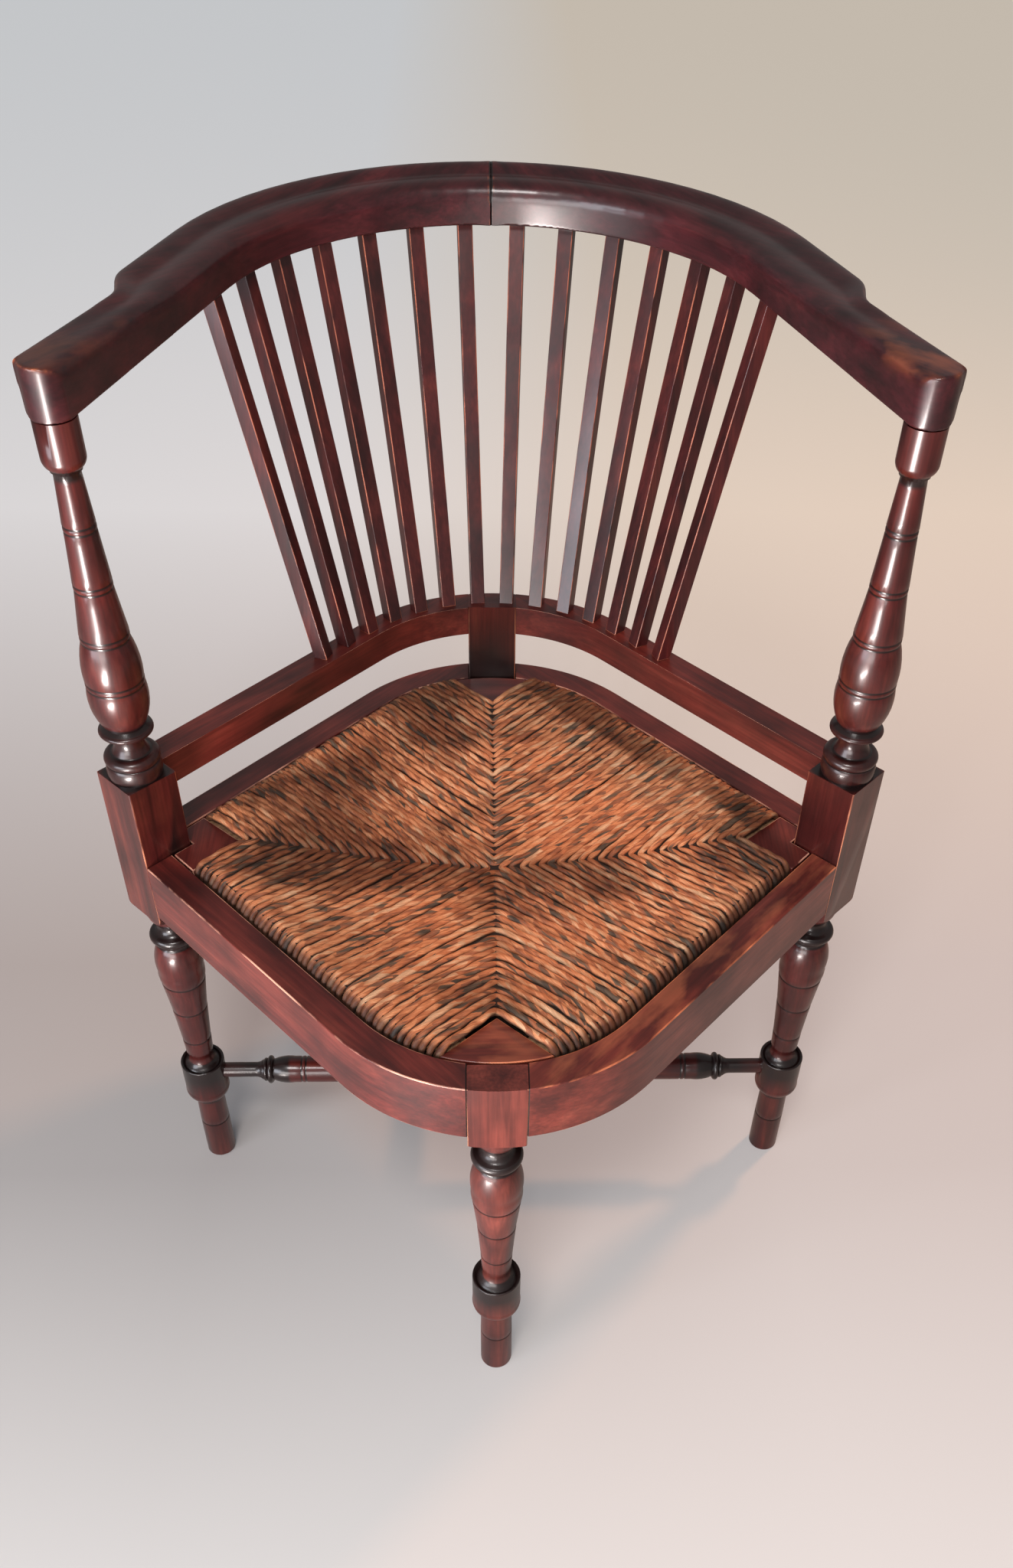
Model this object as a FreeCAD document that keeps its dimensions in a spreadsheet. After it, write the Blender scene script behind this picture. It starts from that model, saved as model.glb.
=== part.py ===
"""Corner chair with turned posts, a bowed back of square spindles and a drop-in rush seat.

Millimetres, +Z up. The chair faces -Y. Its origin is on the floor, under the middle of its bounding box.
Shapes are drawn round the line that joins the two side posts, and every finished piece is then moved
back by `centring`, which puts the middle of the depth on the origin.
"""
import FreeCAD, Part
import math
import os

import Sketcher

doc = FreeCAD.newDocument("corner_chair")
sheet = doc.addObject("Spreadsheet::Sheet", "sizes")

SIZES = {
    # posts and legs, in plan
    "side_post_x": (287.0, "side post axis from the middle of the chair"),
    "leg_y": (248.0, "front and rear leg axes from the side post line"),
    "post_block": (44.5, "side of the square part of every post"),
    # seat rails
    "seat_height": (419.0, "top of the seat rails"),
    "rail_height": (56.0, "height of a seat rail"),
    "rail_thickness": (25.0, "thickness of a seat rail"),
    "rail_bow": (160.0, "outer radius where the rails bow round the front and rear legs"),
    # middle rail under the spindles
    "mid_rail_rise": (76.0, "top of the middle rail and of the side blocks, above the seat rails"),
    "mid_rail_height": (28.0, "height of the middle rail"),
    "mid_rail_thickness": (24.0, "thickness of the middle rail"),
    # joints
    "tenon_length": (14.0, "how far a rail tenon enters its post"),
    "tenon_thickness": (9.0, "thickness of a rail tenon"),
    "seat_tenon_height": (36.0, "height of a seat rail tenon"),
    "mid_tenon_height": (16.0, "height of a middle rail tenon"),
    "joint_clearance": (0.1, "room round a tenon, pin or dowel"),
    "shoulder_gap": (0.4, "room beyond the end of a tenon, pin or dowel"),
    # turned leg, from the floor up
    "foot_radius": (14.2, "radius of the foot"),
    "foot_chamfer": (1.5, "bevel under the foot"),
    "foot_line_z": (51.0, "height of the line scored round the foot"),
    "cup_bottom_z": (91.0, "underside of the stretcher cup"),
    "cup_height": (49.5, "height of the stretcher cup"),
    "cup_radius": (21.0, "radius of the stretcher cup"),
    "cup_round": (14.0, "height of the rounded underside of the cup"),
    "ankle_radius": (12.7, "narrowest part of the leg, above the cup"),
    "leg_line_1_rise": (35.5, "lowest line scored round the leg vase, above the cup"),
    "leg_line_1_radius": (13.6, "vase radius there"),
    "leg_line_2_rise": (43.0, "middle line scored round the leg vase, above the lowest"),
    "leg_line_2_radius": (16.3, "vase radius there"),
    "leg_line_3_rise": (38.0, "top line scored round the leg vase, above the middle one"),
    "leg_line_3_radius": (20.0, "vase radius there"),
    "leg_vase_radius": (20.8, "widest part of the leg vase"),
    "leg_vase_top_rise": (46.5, "shoulder of the leg vase, above its top line"),
    "collar_rise": (12.0, "middle of the collar, above that shoulder"),
    "collar_radius": (20.8, "radius of that collar"),
    "block_rise": (36.5, "underside of the block, above the middle of the collar"),
    "block_bead": (16.0, "height of the bead under the block"),
    "block_bead_radius": (17.2, "radius of that bead where it meets the block"),
    "corner_trim": (3.0, "how far the lower corners of a block are turned away"),
    # turned part of a side post above its block
    "base_radius": (22.0, "radius of the band that stands on the block"),
    "base_band": (13.0, "height of that band"),
    "base_bead": (9.0, "height of the bead on the band"),
    "saucer_rise": (44.0, "edge of the thin saucer under the vase, above the block"),
    "saucer_radius": (21.4, "radius of the saucer"),
    "arm_line_1_rise": (43.5, "lowest double line scored round the arm vase, above the saucer"),
    "arm_line_1_radius": (22.3, "vase radius there"),
    "arm_line_2_rise": (39.0, "next double line, above the one before"),
    "arm_line_2_radius": (18.3, "vase radius there"),
    "arm_line_3_rise": (41.5, "next double line, above the one before"),
    "arm_line_3_radius": (14.2, "vase radius there"),
    "arm_line_4_rise": (45.0, "top pair of lines, above the one before"),
    "arm_line_4_radius": (11.7, "vase radius there"),
    "neck_radius": (9.4, "narrowest part of the side post"),
    "capital_rise": (43.0, "underside of the cylinder that carries the arm, above the top lines"),
    "capital_height": (35.0, "height of that cylinder"),
    "capital_radius": (15.2, "radius of that cylinder"),
    "capital_bevel": (7.5, "height of its bevelled underside"),
    "arm_pin_radius": (6.0, "round tenon on top of a side post"),
    "arm_pin_length": (18.0, "length of that tenon"),
    # crest rail
    "crest_height": (38.0, "height of the crest rail"),
    "crest_bow": (210.0, "inner radius of the bowed back"),
    "crest_centre_y": (151.0, "centre of that bow behind the side post line"),
    "nose_radius": (16.4, "radius of the arm's round end"),
    "nose_proud": (0.5, "how far the round end stands proud of the arm's inner face"),
    "nose_corner": (8.0, "outer corner of the arm's end, in front of the post's axis"),
    "arm_end_width": (31.8, "width of an arm at its end"),
    "arm_end_lean": (2.0, "how far the outer face of the arm's end leans out at the top"),
    "arm_width": (26.0, "width of an arm where the shoulder starts"),
    "crest_width": (41.0, "width of the crest rail at the back"),
    "shoulder_start": (107.0, "where the arm starts to widen, along the arm"),
    "shoulder_run": (40.0, "length of that shoulder"),
    "crest_dowel_radius": (4.0, "dowels that join the two halves"),
    "crest_dowel_length": (50.0, "length of those dowels"),
    # spindles
    "spindle_side": (12.6, "side of a square spindle"),
    "spindle_pin": (3.5, "radius of the round pin at each end"),
    "spindle_pin_length": (10.0, "length of that pin, measured upright"),
    "spindle_first": (13.6, "first spindle from the middle, along the middle rail"),
    "spindle_pitch": (28.3, "spindle spacing along the middle rail"),
    "spindle_top_first": (22.5, "first spindle from the middle, along the crest rail"),
    "spindle_top_pitch": (42.8, "spindle spacing along the crest rail"),
    "spindle_top_last": (8.0, "extra spacing before the last spindle, along the crest rail"),
    "spindle_setback": (16.0, "spindle line behind the inner edge of the crest rail"),
    # stretchers
    "stretcher_z": (123.5, "axis of the crossed stretchers"),
    "stretcher_end_radius": (7.4, "thin end that enters the cup"),
    "stretcher_ring_radius": (14.0, "double ring"),
    "stretcher_ring_in": (63.0, "double ring, in from the axis of the leg"),
    "stretcher_body_radius": (13.2, "swelling between the rings"),
    "stretcher_entry": (15.0, "how far the stretcher enters the cup"),
    "stretcher_line_in": (36.0, "scored line, in from the double ring"),
    # drop-in seat
    "seat_clearance": (1.5, "room between the drop-in seat and the rails"),
    "corner_thickness": (22.0, "thickness of the seat's corner blocks"),
    "side_apex_x": (211.0, "inner corner of a side corner block"),
    "leg_apex_y": (199.0, "inner corner of the front and rear corner blocks"),
    "frame_rail_width": (38.0, "width of a rail inside the rush"),
    "frame_rail_thickness": (12.0, "thickness of a rail inside the rush"),
    "rush_wrap": (6.0, "rush round a rail"),
    "rush_rise": (8.0, "rush above the seat rails at its edge"),
    "rush_sag": (16.0, "dip in the middle of the rush"),
    "rush_dish": (200.0, "radius of the dished part of the rush"),
    "rush_gap": (0.3, "room round the rush"),
    "seat_tongue": (10.0, "length of the tongue on a rail inside the rush"),
    "seat_tongue_width": (12.0, "width of that tongue"),
    "seat_tongue_thickness": (6.0, "thickness of that tongue"),
    "bracket_height": (26.0, "height of the glued blocks that carry the seat"),
    "bracket_reach": (34.0, "reach of those blocks from the inner corner of the post block"),
}
SPINDLES_PER_SIDE = 7
SIDES = {"left": -1, "right": 1}
ENDS = {"front": -1, "rear": 1}
DIAGONAL = math.sqrt(0.5)

for number, (alias, (value, note)) in enumerate(SIZES.items(), start=1):
    sheet.set(f"A{number}", note)
    sheet.set(f"B{number}", str(value))
    sheet.setAlias(f"B{number}", alias)
doc.recompute()


class Size(float):
    """A number that keeps the sheet expression it comes from, so that both can be bound together."""

    def __new__(cls, number, text):
        made = super().__new__(cls, number)
        made.text = text
        return made

    def __add__(self, other):
        return Size(float(self) + float(other), f"({self.text} + {text_of(other)})")

    def __radd__(self, other):
        return Size(float(other) + float(self), f"({text_of(other)} + {self.text})")

    def __sub__(self, other):
        return Size(float(self) - float(other), f"({self.text} - {text_of(other)})")

    def __rsub__(self, other):
        return Size(float(other) - float(self), f"({text_of(other)} - {self.text})")

    def __mul__(self, other):
        return Size(float(self) * float(other), f"({self.text} * {text_of(other)})")

    def __rmul__(self, other):
        return Size(float(other) * float(self), f"({text_of(other)} * {self.text})")

    def __truediv__(self, other):
        return Size(float(self) / float(other), f"({self.text} / {text_of(other)})")

    def __neg__(self):
        return Size(-float(self), f"(0 - {self.text})")


def text_of(value):
    return value.text if isinstance(value, Size) else repr(float(value))


def root(value):
    return Size(math.sqrt(value), f"sqrt({text_of(value)})")


def sine(degrees):
    return Size(math.sin(math.radians(degrees)), f"sin({text_of(degrees)} * 1 deg)")


def cosine(degrees):
    return Size(math.cos(math.radians(degrees)), f"cos({text_of(degrees)} * 1 deg)")


def size(alias):
    return Size(float(sheet.get(alias)), f"sizes.{alias}")


S = {alias: size(alias) for alias in SIZES}

# Heights above the floor, each from the one below it.
for height, below, rise in (
    ("cup_rim_z", "cup_bottom_z", "cup_height"),
    ("leg_line_1_z", "cup_rim_z", "leg_line_1_rise"),
    ("leg_line_2_z", "leg_line_1_z", "leg_line_2_rise"),
    ("leg_line_3_z", "leg_line_2_z", "leg_line_3_rise"),
    ("leg_vase_top_z", "leg_line_3_z", "leg_vase_top_rise"),
    ("collar_z", "leg_vase_top_z", "collar_rise"),
    ("block_bottom_z", "collar_z", "block_rise"),
    ("mid_rail_top", "seat_height", "mid_rail_rise"),
    ("saucer_z", "mid_rail_top", "saucer_rise"),
    ("arm_line_1_z", "saucer_z", "arm_line_1_rise"),
    ("arm_line_2_z", "arm_line_1_z", "arm_line_2_rise"),
    ("arm_line_3_z", "arm_line_2_z", "arm_line_3_rise"),
    ("arm_line_4_z", "arm_line_3_z", "arm_line_4_rise"),
    ("capital_z", "arm_line_4_z", "capital_rise"),
    ("crest_bottom_z", "capital_z", "capital_height"),
):
    S[height] = S[below] + S[rise]

# ---- sketches, pads and turnings -----------------------------------------------------------------


def arc_between(first, last, radius):
    """Arc from first to last; a positive radius bulges to the right of the way from first to last."""
    chord = last - first
    half = chord.Length / 2
    rise = abs(radius) - math.sqrt(max(radius * radius - half * half, 0.0))
    right = FreeCAD.Vector(chord.y, -chord.x, 0).normalize()
    middle = (first + last) / 2 + right * math.copysign(rise, radius)
    return Part.Arc(first, middle, last)


def bulge_radius(first, last, ratio):
    """Radius of the arc between two corners whose rise is `ratio` of its chord."""
    run = last[0] - first[0]
    climb = last[1] - first[1]
    chord = root(run * run + climb * climb)
    return chord * ((0.25 + ratio * ratio) / (2 * abs(ratio)) * math.copysign(1, ratio))


def outline(body, name, plane, corners):
    """Closed sketch on one of a body's planes. A corner is (x, y) or (x, y, radius of the arc to it)."""
    sketch = body.newObject("Sketcher::SketchObject", name)
    face = next(part for part in body.Origin.OriginFeatures if part.Role == plane)
    sketch.AttachmentSupport = (face, [""])
    sketch.MapMode = "FlatFace"
    points = [FreeCAD.Vector(corner[0], corner[1], 0) for corner in corners]
    count = len(corners)
    bindings = []
    for index in range(count):
        following = (index + 1) % count
        target = corners[following]
        if len(target) == 3:
            radius = target[2]
            sketch.addGeometry(arc_between(points[index], points[following], radius))
            bindings.append(("Radius", (index,), Size(abs(radius), f"abs({text_of(radius)})")))
        else:
            sketch.addGeometry(Part.LineSegment(points[index], points[following]))
    turned_round = [
        index for index in range(count)
        if len(corners[(index + 1) % count]) == 3 and corners[(index + 1) % count][2] < 0
    ]
    for index in range(count):
        start = 2 if index in turned_round else 1
        previous = (index - 1) % count
        end = 1 if previous in turned_round else 2
        sketch.addConstraint(Sketcher.Constraint("Coincident", previous, end, index, start))
        for kind, value in (("DistanceX", corners[index][0]), ("DistanceY", corners[index][1])):
            bindings.append((kind, (-1, 1, index, start), value))
    for kind, where, value in bindings:
        made = sketch.addConstraint(Sketcher.Constraint(kind, *where, float(value)))
        if isinstance(value, Size):
            sketch.setExpression(f"Constraints[{made}]", value.text)
    return sketch


def turning(name, corners):
    """Body turned round the Z axis from a profile of (radius, height[, arc radius]) corners."""
    body = doc.addObject("PartDesign::Body", name)
    sketch = outline(body, f"{name}_profile", "XZ_Plane", corners)
    feature = body.newObject("PartDesign::Revolution", f"{name}_turning")
    feature.Profile = sketch
    feature.ReferenceAxis = (sketch, ["V_Axis"])
    feature.Angle = 360.0
    sketch.Visibility = False
    return body


def slab(name, corners, height, bottom):
    """Body padded up from a plan outline whose underside lies at `bottom`."""
    body = doc.addObject("PartDesign::Body", name)
    sketch = outline(body, f"{name}_plan", "XY_Plane", corners)
    feature = body.newObject("PartDesign::Pad", f"{name}_pad")
    feature.Profile = sketch
    feature.Length = float(height)
    feature.setExpression("Length", text_of(height))
    place(body, z=bottom)
    return body


def place(item, x=0.0, y=0.0, z=0.0, turn=0.0):
    """Put an object at x, y, z after a turn of `turn` degrees round the vertical, bound to the sheet."""
    item.Placement = FreeCAD.Placement(
        FreeCAD.Vector(x, y, z), FreeCAD.Rotation(FreeCAD.Vector(0, 0, 1), float(turn))
    )
    for axis, value in (("x", x), ("y", y), ("z", z)):
        if isinstance(value, Size):
            item.setExpression(f"Placement.Base.{axis}", value.text)
    return item


def box(name, length, width, height, x, y, z, turn=0.0):
    """Box centred on x, y in plan, turned round the vertical through its middle, bottom at z."""
    item = doc.addObject("Part::Box", name)
    for side, value in (("Length", length), ("Width", width), ("Height", height)):
        setattr(item, side, float(value))
        if isinstance(value, Size):
            item.setExpression(side, value.text)
    across, along = math.cos(math.radians(turn)), math.sin(math.radians(turn))
    corner_x = x - length * (across / 2) + width * (along / 2)
    corner_y = y - length * (along / 2) - width * (across / 2)
    return place(item, corner_x, corner_y, z, turn)


def cylinder(name, radius, height, x, y, z):
    item = doc.addObject("Part::Cylinder", name)
    item.Radius = float(radius)
    item.setExpression("Radius", text_of(radius))
    item.Height = float(height)
    item.setExpression("Height", text_of(height))
    return place(item, x, y, z)


def joined(name, pieces):
    item = doc.addObject("Part::MultiFuse", name)
    item.Shapes = pieces
    item.Refine = True
    return item


def shared(name, pieces):
    item = doc.addObject("Part::MultiCommon", name)
    item.Shapes = pieces
    return item


def cut(name, base, tools):
    item = doc.addObject("Part::Cut", name)
    item.Base = base
    item.Tool = tools[0] if len(tools) == 1 else joined(f"{name}_tools", tools)
    return item


NODES = {}


def finish(node, item):
    """Make an object a named piece of the chair, moved back so that the origin is under its middle."""
    NODES[node] = item
    item.Label = node
    return item


# ---- plan of the seat ----------------------------------------------------------------------------

half_block = S["post_block"] / 2
block_diagonal = S["post_block"] * DIAGONAL
outer_y = S["leg_y"] + half_block
bow_y = outer_y - S["rail_bow"]
centring = (outer_y - S["crest_centre_y"] - S["crest_bow"] - S["crest_width"]) / 2

# Unit vector along the straight part of a rail, from the side post towards the leg, in the quarter
# where x and y are both positive: it is tangent to the bow from the outer corner of the side block.
to_centre_x = S["side_post_x"]
to_centre_y = bow_y - block_diagonal
reach_squared = to_centre_x * to_centre_x + to_centre_y * to_centre_y
straight = root(reach_squared - S["rail_bow"] * S["rail_bow"])
along_x = (to_centre_y * S["rail_bow"] - to_centre_x * straight) / reach_squared
along_y = (to_centre_x * S["rail_bow"] + to_centre_y * straight) / reach_squared
# Outward normal of that straight part.
out_x = along_y
out_y = -along_x


def mirror(corners, side, end):
    """Corners drawn in the quarter of positive x and y, moved to another quarter in the same sense."""
    flipped = []
    for corner in corners:
        radius = [corner[2] * (side * end)] if len(corner) == 3 else []
        flipped.append([corner[0] * side, corner[1] * end] + radius)
    return flipped


def bowed_plan(thickness, leg_half):
    """Plan of a rail of the given thickness between a side block and a leg that is 2 * leg_half wide."""
    outer = S["rail_bow"]
    inner = outer - thickness
    return [
        (S["side_post_x"], block_diagonal),
        (out_x * outer, bow_y + out_y * outer),
        (leg_half, bow_y + root(outer * outer - leg_half * leg_half), outer),
        (leg_half, bow_y + root(inner * inner - leg_half * leg_half)),
        (out_x * inner, bow_y + out_y * inner, -inner),
        (S["side_post_x"] - thickness * DIAGONAL, block_diagonal - thickness * DIAGONAL),
    ]


def side_tenon(name, side, end, thickness, height, z, slack):
    """Tenon that enters a face of a side block squarely. With slack it is the mortise."""
    root_x = (S["side_post_x"] - thickness * (DIAGONAL / 2)) * side
    root_y = (block_diagonal - thickness * (DIAGONAL / 2)) * end
    reach = S["tenon_length"] + slack * 4
    lap = reach / 2 - TENON_ROOT / 2
    middle_x = root_x + lap * (side * DIAGONAL)
    middle_y = root_y - lap * (end * DIAGONAL)
    return box(name, reach + TENON_ROOT, S["tenon_thickness"] + slack * 2, height + slack * 2,
               middle_x, middle_y, z - slack, -45.0 * side * end)


def leg_tenon(name, side, end, thickness, height, z, slack):
    """Tenon that enters the side of the front or rear leg. With slack it is the mortise."""
    sag = S["rail_bow"] - root(S["rail_bow"] * S["rail_bow"] - half_block * half_block)
    reach = S["tenon_length"] + slack * 4
    middle_x = (half_block - reach / 2 + TENON_ROOT / 2) * side
    middle_y = (outer_y - sag - thickness / 2) * end
    return box(name, reach + TENON_ROOT, S["tenon_thickness"] + slack * 2, height + slack * 2,
               middle_x, middle_y, z - slack)


TENON_ROOT = 3.0  # how far a tenon box starts inside its rail, so that the two fuse
no_slack = S["joint_clearance"] * 0
slack = S["joint_clearance"]
seat_tenon_z = S["seat_height"] - (S["rail_height"] + S["seat_tenon_height"]) / 2
mid_tenon_z = S["mid_rail_top"] - (S["mid_rail_height"] + S["mid_tenon_height"]) / 2
mortises = {"left": [], "right": [], "front": [], "rear": []}


def bowed_rail(node, side_name, end_name, thickness, height, top, tenon_height, tenon_z):
    side, end = SIDES[side_name], ENDS[end_name]
    plan = mirror(bowed_plan(thickness, half_block), side, end)
    blank = slab(f"{node}_blank", plan, height, top - height)
    tenons = [
        side_tenon(f"{node}_side_tenon", side, end, thickness, tenon_height, tenon_z, no_slack),
        leg_tenon(f"{node}_leg_tenon", side, end, thickness, tenon_height, tenon_z, no_slack),
    ]
    mortises[side_name].append(
        side_tenon(f"{node}_side_mortise", side, end, thickness, tenon_height, tenon_z, slack))
    mortises[end_name].append(
        leg_tenon(f"{node}_leg_mortise", side, end, thickness, tenon_height, tenon_z, slack))
    return joined(f"{node}_rail", [blank] + tenons)


for end_name in ENDS:
    for side_name in SIDES:
        node = f"seat_rail_{end_name}_{side_name}"
        finish(node, bowed_rail(node, side_name, end_name, S["rail_thickness"], S["rail_height"],
                                S["seat_height"], S["seat_tenon_height"], seat_tenon_z))
mid_blanks = {
    side_name: bowed_rail(f"mid_rail_{side_name}", side_name, "rear", S["mid_rail_thickness"],
                          S["mid_rail_height"], S["mid_rail_top"], S["mid_tenon_height"], mid_tenon_z)
    for side_name in SIDES
}

# ---- turned legs and posts -----------------------------------------------------------------------

LINE_DEPTH = 0.9  # depth of a scored line
LINE_HALF = 1.1  # half its height
BEAD = 0.42  # rise of a round bead, as a share of its chord
COVE = -0.3  # hollow of a cove
SWELL = 0.05  # gentle curve of a vase


def scored(radius, z):
    """A V-shaped line scored round a turning."""
    return [(radius, z - LINE_HALF), (radius - LINE_DEPTH, z), (radius, z + LINE_HALF)]


def double_scored(radius, z):
    """Two scored lines with a fine bead between them."""
    return scored(radius, z - 2 * LINE_HALF) + scored(radius, z + 2 * LINE_HALF)


def curved(corners, radius, z, ratio):
    """Add a corner reached by an arc that rises `ratio` of its chord; outwards if positive."""
    corners.append((radius, z, bulge_radius(corners[-1], (radius, z), ratio)))


def leg_profile():
    """Foot, stretcher cup, vase and collar, from the floor to the underside of the block."""
    lip = 1.2
    corners = [(0.0, 0.0), (S["foot_radius"] - S["foot_chamfer"], 0.0)]
    corners.append((S["foot_radius"], S["foot_chamfer"]))
    corners += scored(S["foot_radius"], S["foot_line_z"])
    corners.append((S["foot_radius"] - 0.6, S["cup_bottom_z"]))
    curved(corners, S["cup_radius"], S["cup_bottom_z"] + S["cup_round"], 0.2)
    corners.append((S["cup_radius"], S["cup_rim_z"] - lip))
    curved(corners, S["cup_radius"] - lip, S["cup_rim_z"], 0.2)
    corners.append((S["cup_radius"] - 2.6, S["cup_rim_z"] - 0.5))
    corners.append((S["cup_radius"] - 3.4, S["cup_rim_z"] - 2.5))
    corners.append((S["cup_radius"] - 4.2, S["cup_rim_z"] - 1.0))
    curved(corners, S["ankle_radius"] + 0.2, S["cup_rim_z"] + 17.0, COVE * 0.7)
    corners += scored(S["leg_line_1_radius"], S["leg_line_1_z"])
    corners += scored(S["leg_line_2_radius"], S["leg_line_2_z"])
    corners += scored(S["leg_line_3_radius"], S["leg_line_3_z"])
    curved(corners, S["leg_vase_radius"], S["leg_line_3_z"] + 16.0, SWELL)
    curved(corners, S["leg_vase_radius"] - 4.2, S["leg_vase_top_z"], 0.08)
    corners.append((S["leg_vase_radius"] - 6.0, S["leg_vase_top_z"] + 1.0))
    corners.append((S["collar_radius"] - 4.4, S["collar_z"] - 4.5))
    corners.append((S["collar_radius"] - 2.4, S["collar_z"] - 4.0))
    curved(corners, S["collar_radius"] - 2.4, S["collar_z"] + 4.0, 0.3)
    corners.append((S["collar_radius"] - 5.0, S["collar_z"] + 4.5))
    bead_z = S["block_bottom_z"] - S["block_bead"]
    curved(corners, S["block_bead_radius"] - 2.4, bead_z - 0.6, COVE)
    corners.append((S["block_bead_radius"] - 1.4, bead_z))
    curved(corners, S["block_bead_radius"], S["block_bottom_z"] + 1.0, 0.12)
    return corners


def arm_post_profile():
    """Base beads, saucer, vase, neck and capital, and the round tenon that enters the arm."""
    band_top = S["mid_rail_top"] + S["base_band"]
    bead_top = band_top + S["base_bead"]
    corners = [(S["base_radius"] - 0.8, S["mid_rail_top"])]
    curved(corners, S["base_radius"] - 0.9, band_top, 0.08)
    corners += [(S["base_radius"] - 1.9, band_top + 0.4), (S["base_radius"] - 1.3, band_top + 0.8)]
    curved(corners, S["base_radius"] - 5.6, bead_top, BEAD * 0.9)
    corners += [(S["base_radius"] - 7.0, bead_top + 0.4), (S["base_radius"] - 7.2, bead_top + 1.2)]
    curved(corners, S["base_radius"] - 10.2, S["saucer_z"] - 8.0, COVE * 0.3)
    curved(corners, S["saucer_radius"] - 1.9, S["saucer_z"] - 3.0, COVE * 0.7)
    curved(corners, S["saucer_radius"] - 1.9, S["saucer_z"] + 1.5, BEAD)
    corners.append((S["saucer_radius"] - 5.6, S["saucer_z"] + 4.0))
    curved(corners, S["arm_line_1_radius"], S["arm_line_1_z"] - 3 * LINE_HALF, 0.09)
    corners += double_scored(S["arm_line_1_radius"], S["arm_line_1_z"])[1:]
    curved(corners, S["arm_line_2_radius"], S["arm_line_2_z"] - 3 * LINE_HALF, SWELL)
    corners += double_scored(S["arm_line_2_radius"], S["arm_line_2_z"])[1:]
    corners += double_scored(S["arm_line_3_radius"], S["arm_line_3_z"])
    corners += double_scored(S["arm_line_4_radius"], S["arm_line_4_z"])
    corners.append((S["neck_radius"], S["capital_z"] - 2.5))
    corners.append((S["neck_radius"] + 1.6, S["capital_z"] - 1.5))
    corners.append((S["neck_radius"] + 1.6, S["capital_z"]))
    curved(corners, S["capital_radius"], S["capital_z"] + S["capital_bevel"], 0.12)
    corners.append((S["capital_radius"], S["crest_bottom_z"]))
    corners.append((S["arm_pin_radius"], S["crest_bottom_z"]))
    corners.append((S["arm_pin_radius"], S["crest_bottom_z"] + S["arm_pin_length"]))
    corners.append((0.0, S["crest_bottom_z"] + S["arm_pin_length"]))
    return corners


def trimming(name, top):
    """Turned solid that rounds the lower corners of a square block."""
    wide = S["post_block"]
    corners = [(0.0, S["block_bottom_z"]), (block_diagonal - S["corner_trim"], S["block_bottom_z"])]
    curved(corners, block_diagonal, S["block_bottom_z"] + S["corner_trim"], 0.2)
    corners += [(wide, S["block_bottom_z"] + S["corner_trim"]), (wide, top), (0.0, top)]
    return turning(name, corners)


def core(corners, top):
    """Run a turning on through its block."""
    radius = S["block_bead_radius"] - 1.0
    return corners + [(radius, S["block_bottom_z"] + 1.0), (radius, top), (0.0, top)]


def cup_bore(name, x, y, turn):
    """Bore in a stretcher cup for the thin end of a stretcher, opening in the direction `turn`."""
    bore = doc.addObject("Part::Cylinder", name)
    radius = S["stretcher_end_radius"] + slack
    bore.Radius = float(radius)
    bore.setExpression("Radius", radius.text)
    length = S["stretcher_entry"] + S["shoulder_gap"] + BORE_OVERRUN
    bore.Height = float(length)
    bore.setExpression("Height", length.text)
    way = FreeCAD.Vector(round(math.cos(math.radians(turn))), round(math.sin(math.radians(turn))), 0)
    offset = S["cup_radius"] - S["stretcher_entry"] - S["shoulder_gap"]
    place(bore, x + offset * way.x, y + offset * way.y, S["stretcher_z"])
    bore.Placement.Rotation = FreeCAD.Rotation(FreeCAD.Vector(0, 0, 1), way)
    return bore


BORE_OVERRUN = 6.0  # how far a bore tool starts outside the surface it cuts
zero = S["leg_y"] * 0

for side_name, side in SIDES.items():
    node = f"side_post_{side_name}"
    x = S["side_post_x"] * side
    below = place(turning(f"{node}_leg", core(leg_profile(), S["mid_rail_top"])), x)
    above = place(turning(f"{node}_arm_post", [(0.0, S["mid_rail_top"])] + arm_post_profile()), x)
    rounding = place(trimming(f"{node}_trimming", S["mid_rail_top"]), x)
    square = box(f"{node}_square", S["post_block"], S["post_block"],
                 S["mid_rail_top"] - S["block_bottom_z"], x, zero, S["block_bottom_z"], 45.0)
    whole = joined(f"{node}_whole", [below, above, shared(f"{node}_block", [square, rounding])])
    bore = cup_bore(f"{node}_bore", x, zero, 90.0 + 90.0 * side)
    finish(node, cut(f"{node}_cut", whole, mortises[side_name] + [bore]))

legs = {}
for end_name, end in ENDS.items():
    node = f"{end_name}_leg"
    y = S["leg_y"] * end
    top = S["mid_rail_top"] if end_name == "rear" else S["seat_height"]
    ledge_z = S["seat_height"] - S["corner_thickness"]
    below = place(turning(f"{node}_turned", core(leg_profile(), ledge_z)), y=y)
    rounding = place(trimming(f"{node}_trimming", top), y=y)
    square = box(f"{node}_square", S["post_block"], S["post_block"], top - S["block_bottom_z"],
                 zero, y, S["block_bottom_z"])
    bow = cylinder(f"{node}_bow", S["rail_bow"], top - S["block_bottom_z"],
                   zero, bow_y * end, S["block_bottom_z"])
    whole = joined(f"{node}_whole", [below, shared(f"{node}_block", [square, rounding, bow])])
    inner_depth = S["post_block"] - S["rail_thickness"]
    rebate = box(f"{node}_rebate", S["post_block"] * 2, inner_depth * 2, top - ledge_z + 1.0,
                 zero, (outer_y - S["rail_thickness"] - inner_depth) * end, ledge_z)
    bore = cup_bore(f"{node}_bore", zero, y, -90.0 * end)
    legs[end_name] = cut(f"{node}_cut", whole, mortises[end_name] + [rebate, bore])
finish("front_leg", legs["front"])

# ---- crossed stretchers --------------------------------------------------------------------------


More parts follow.
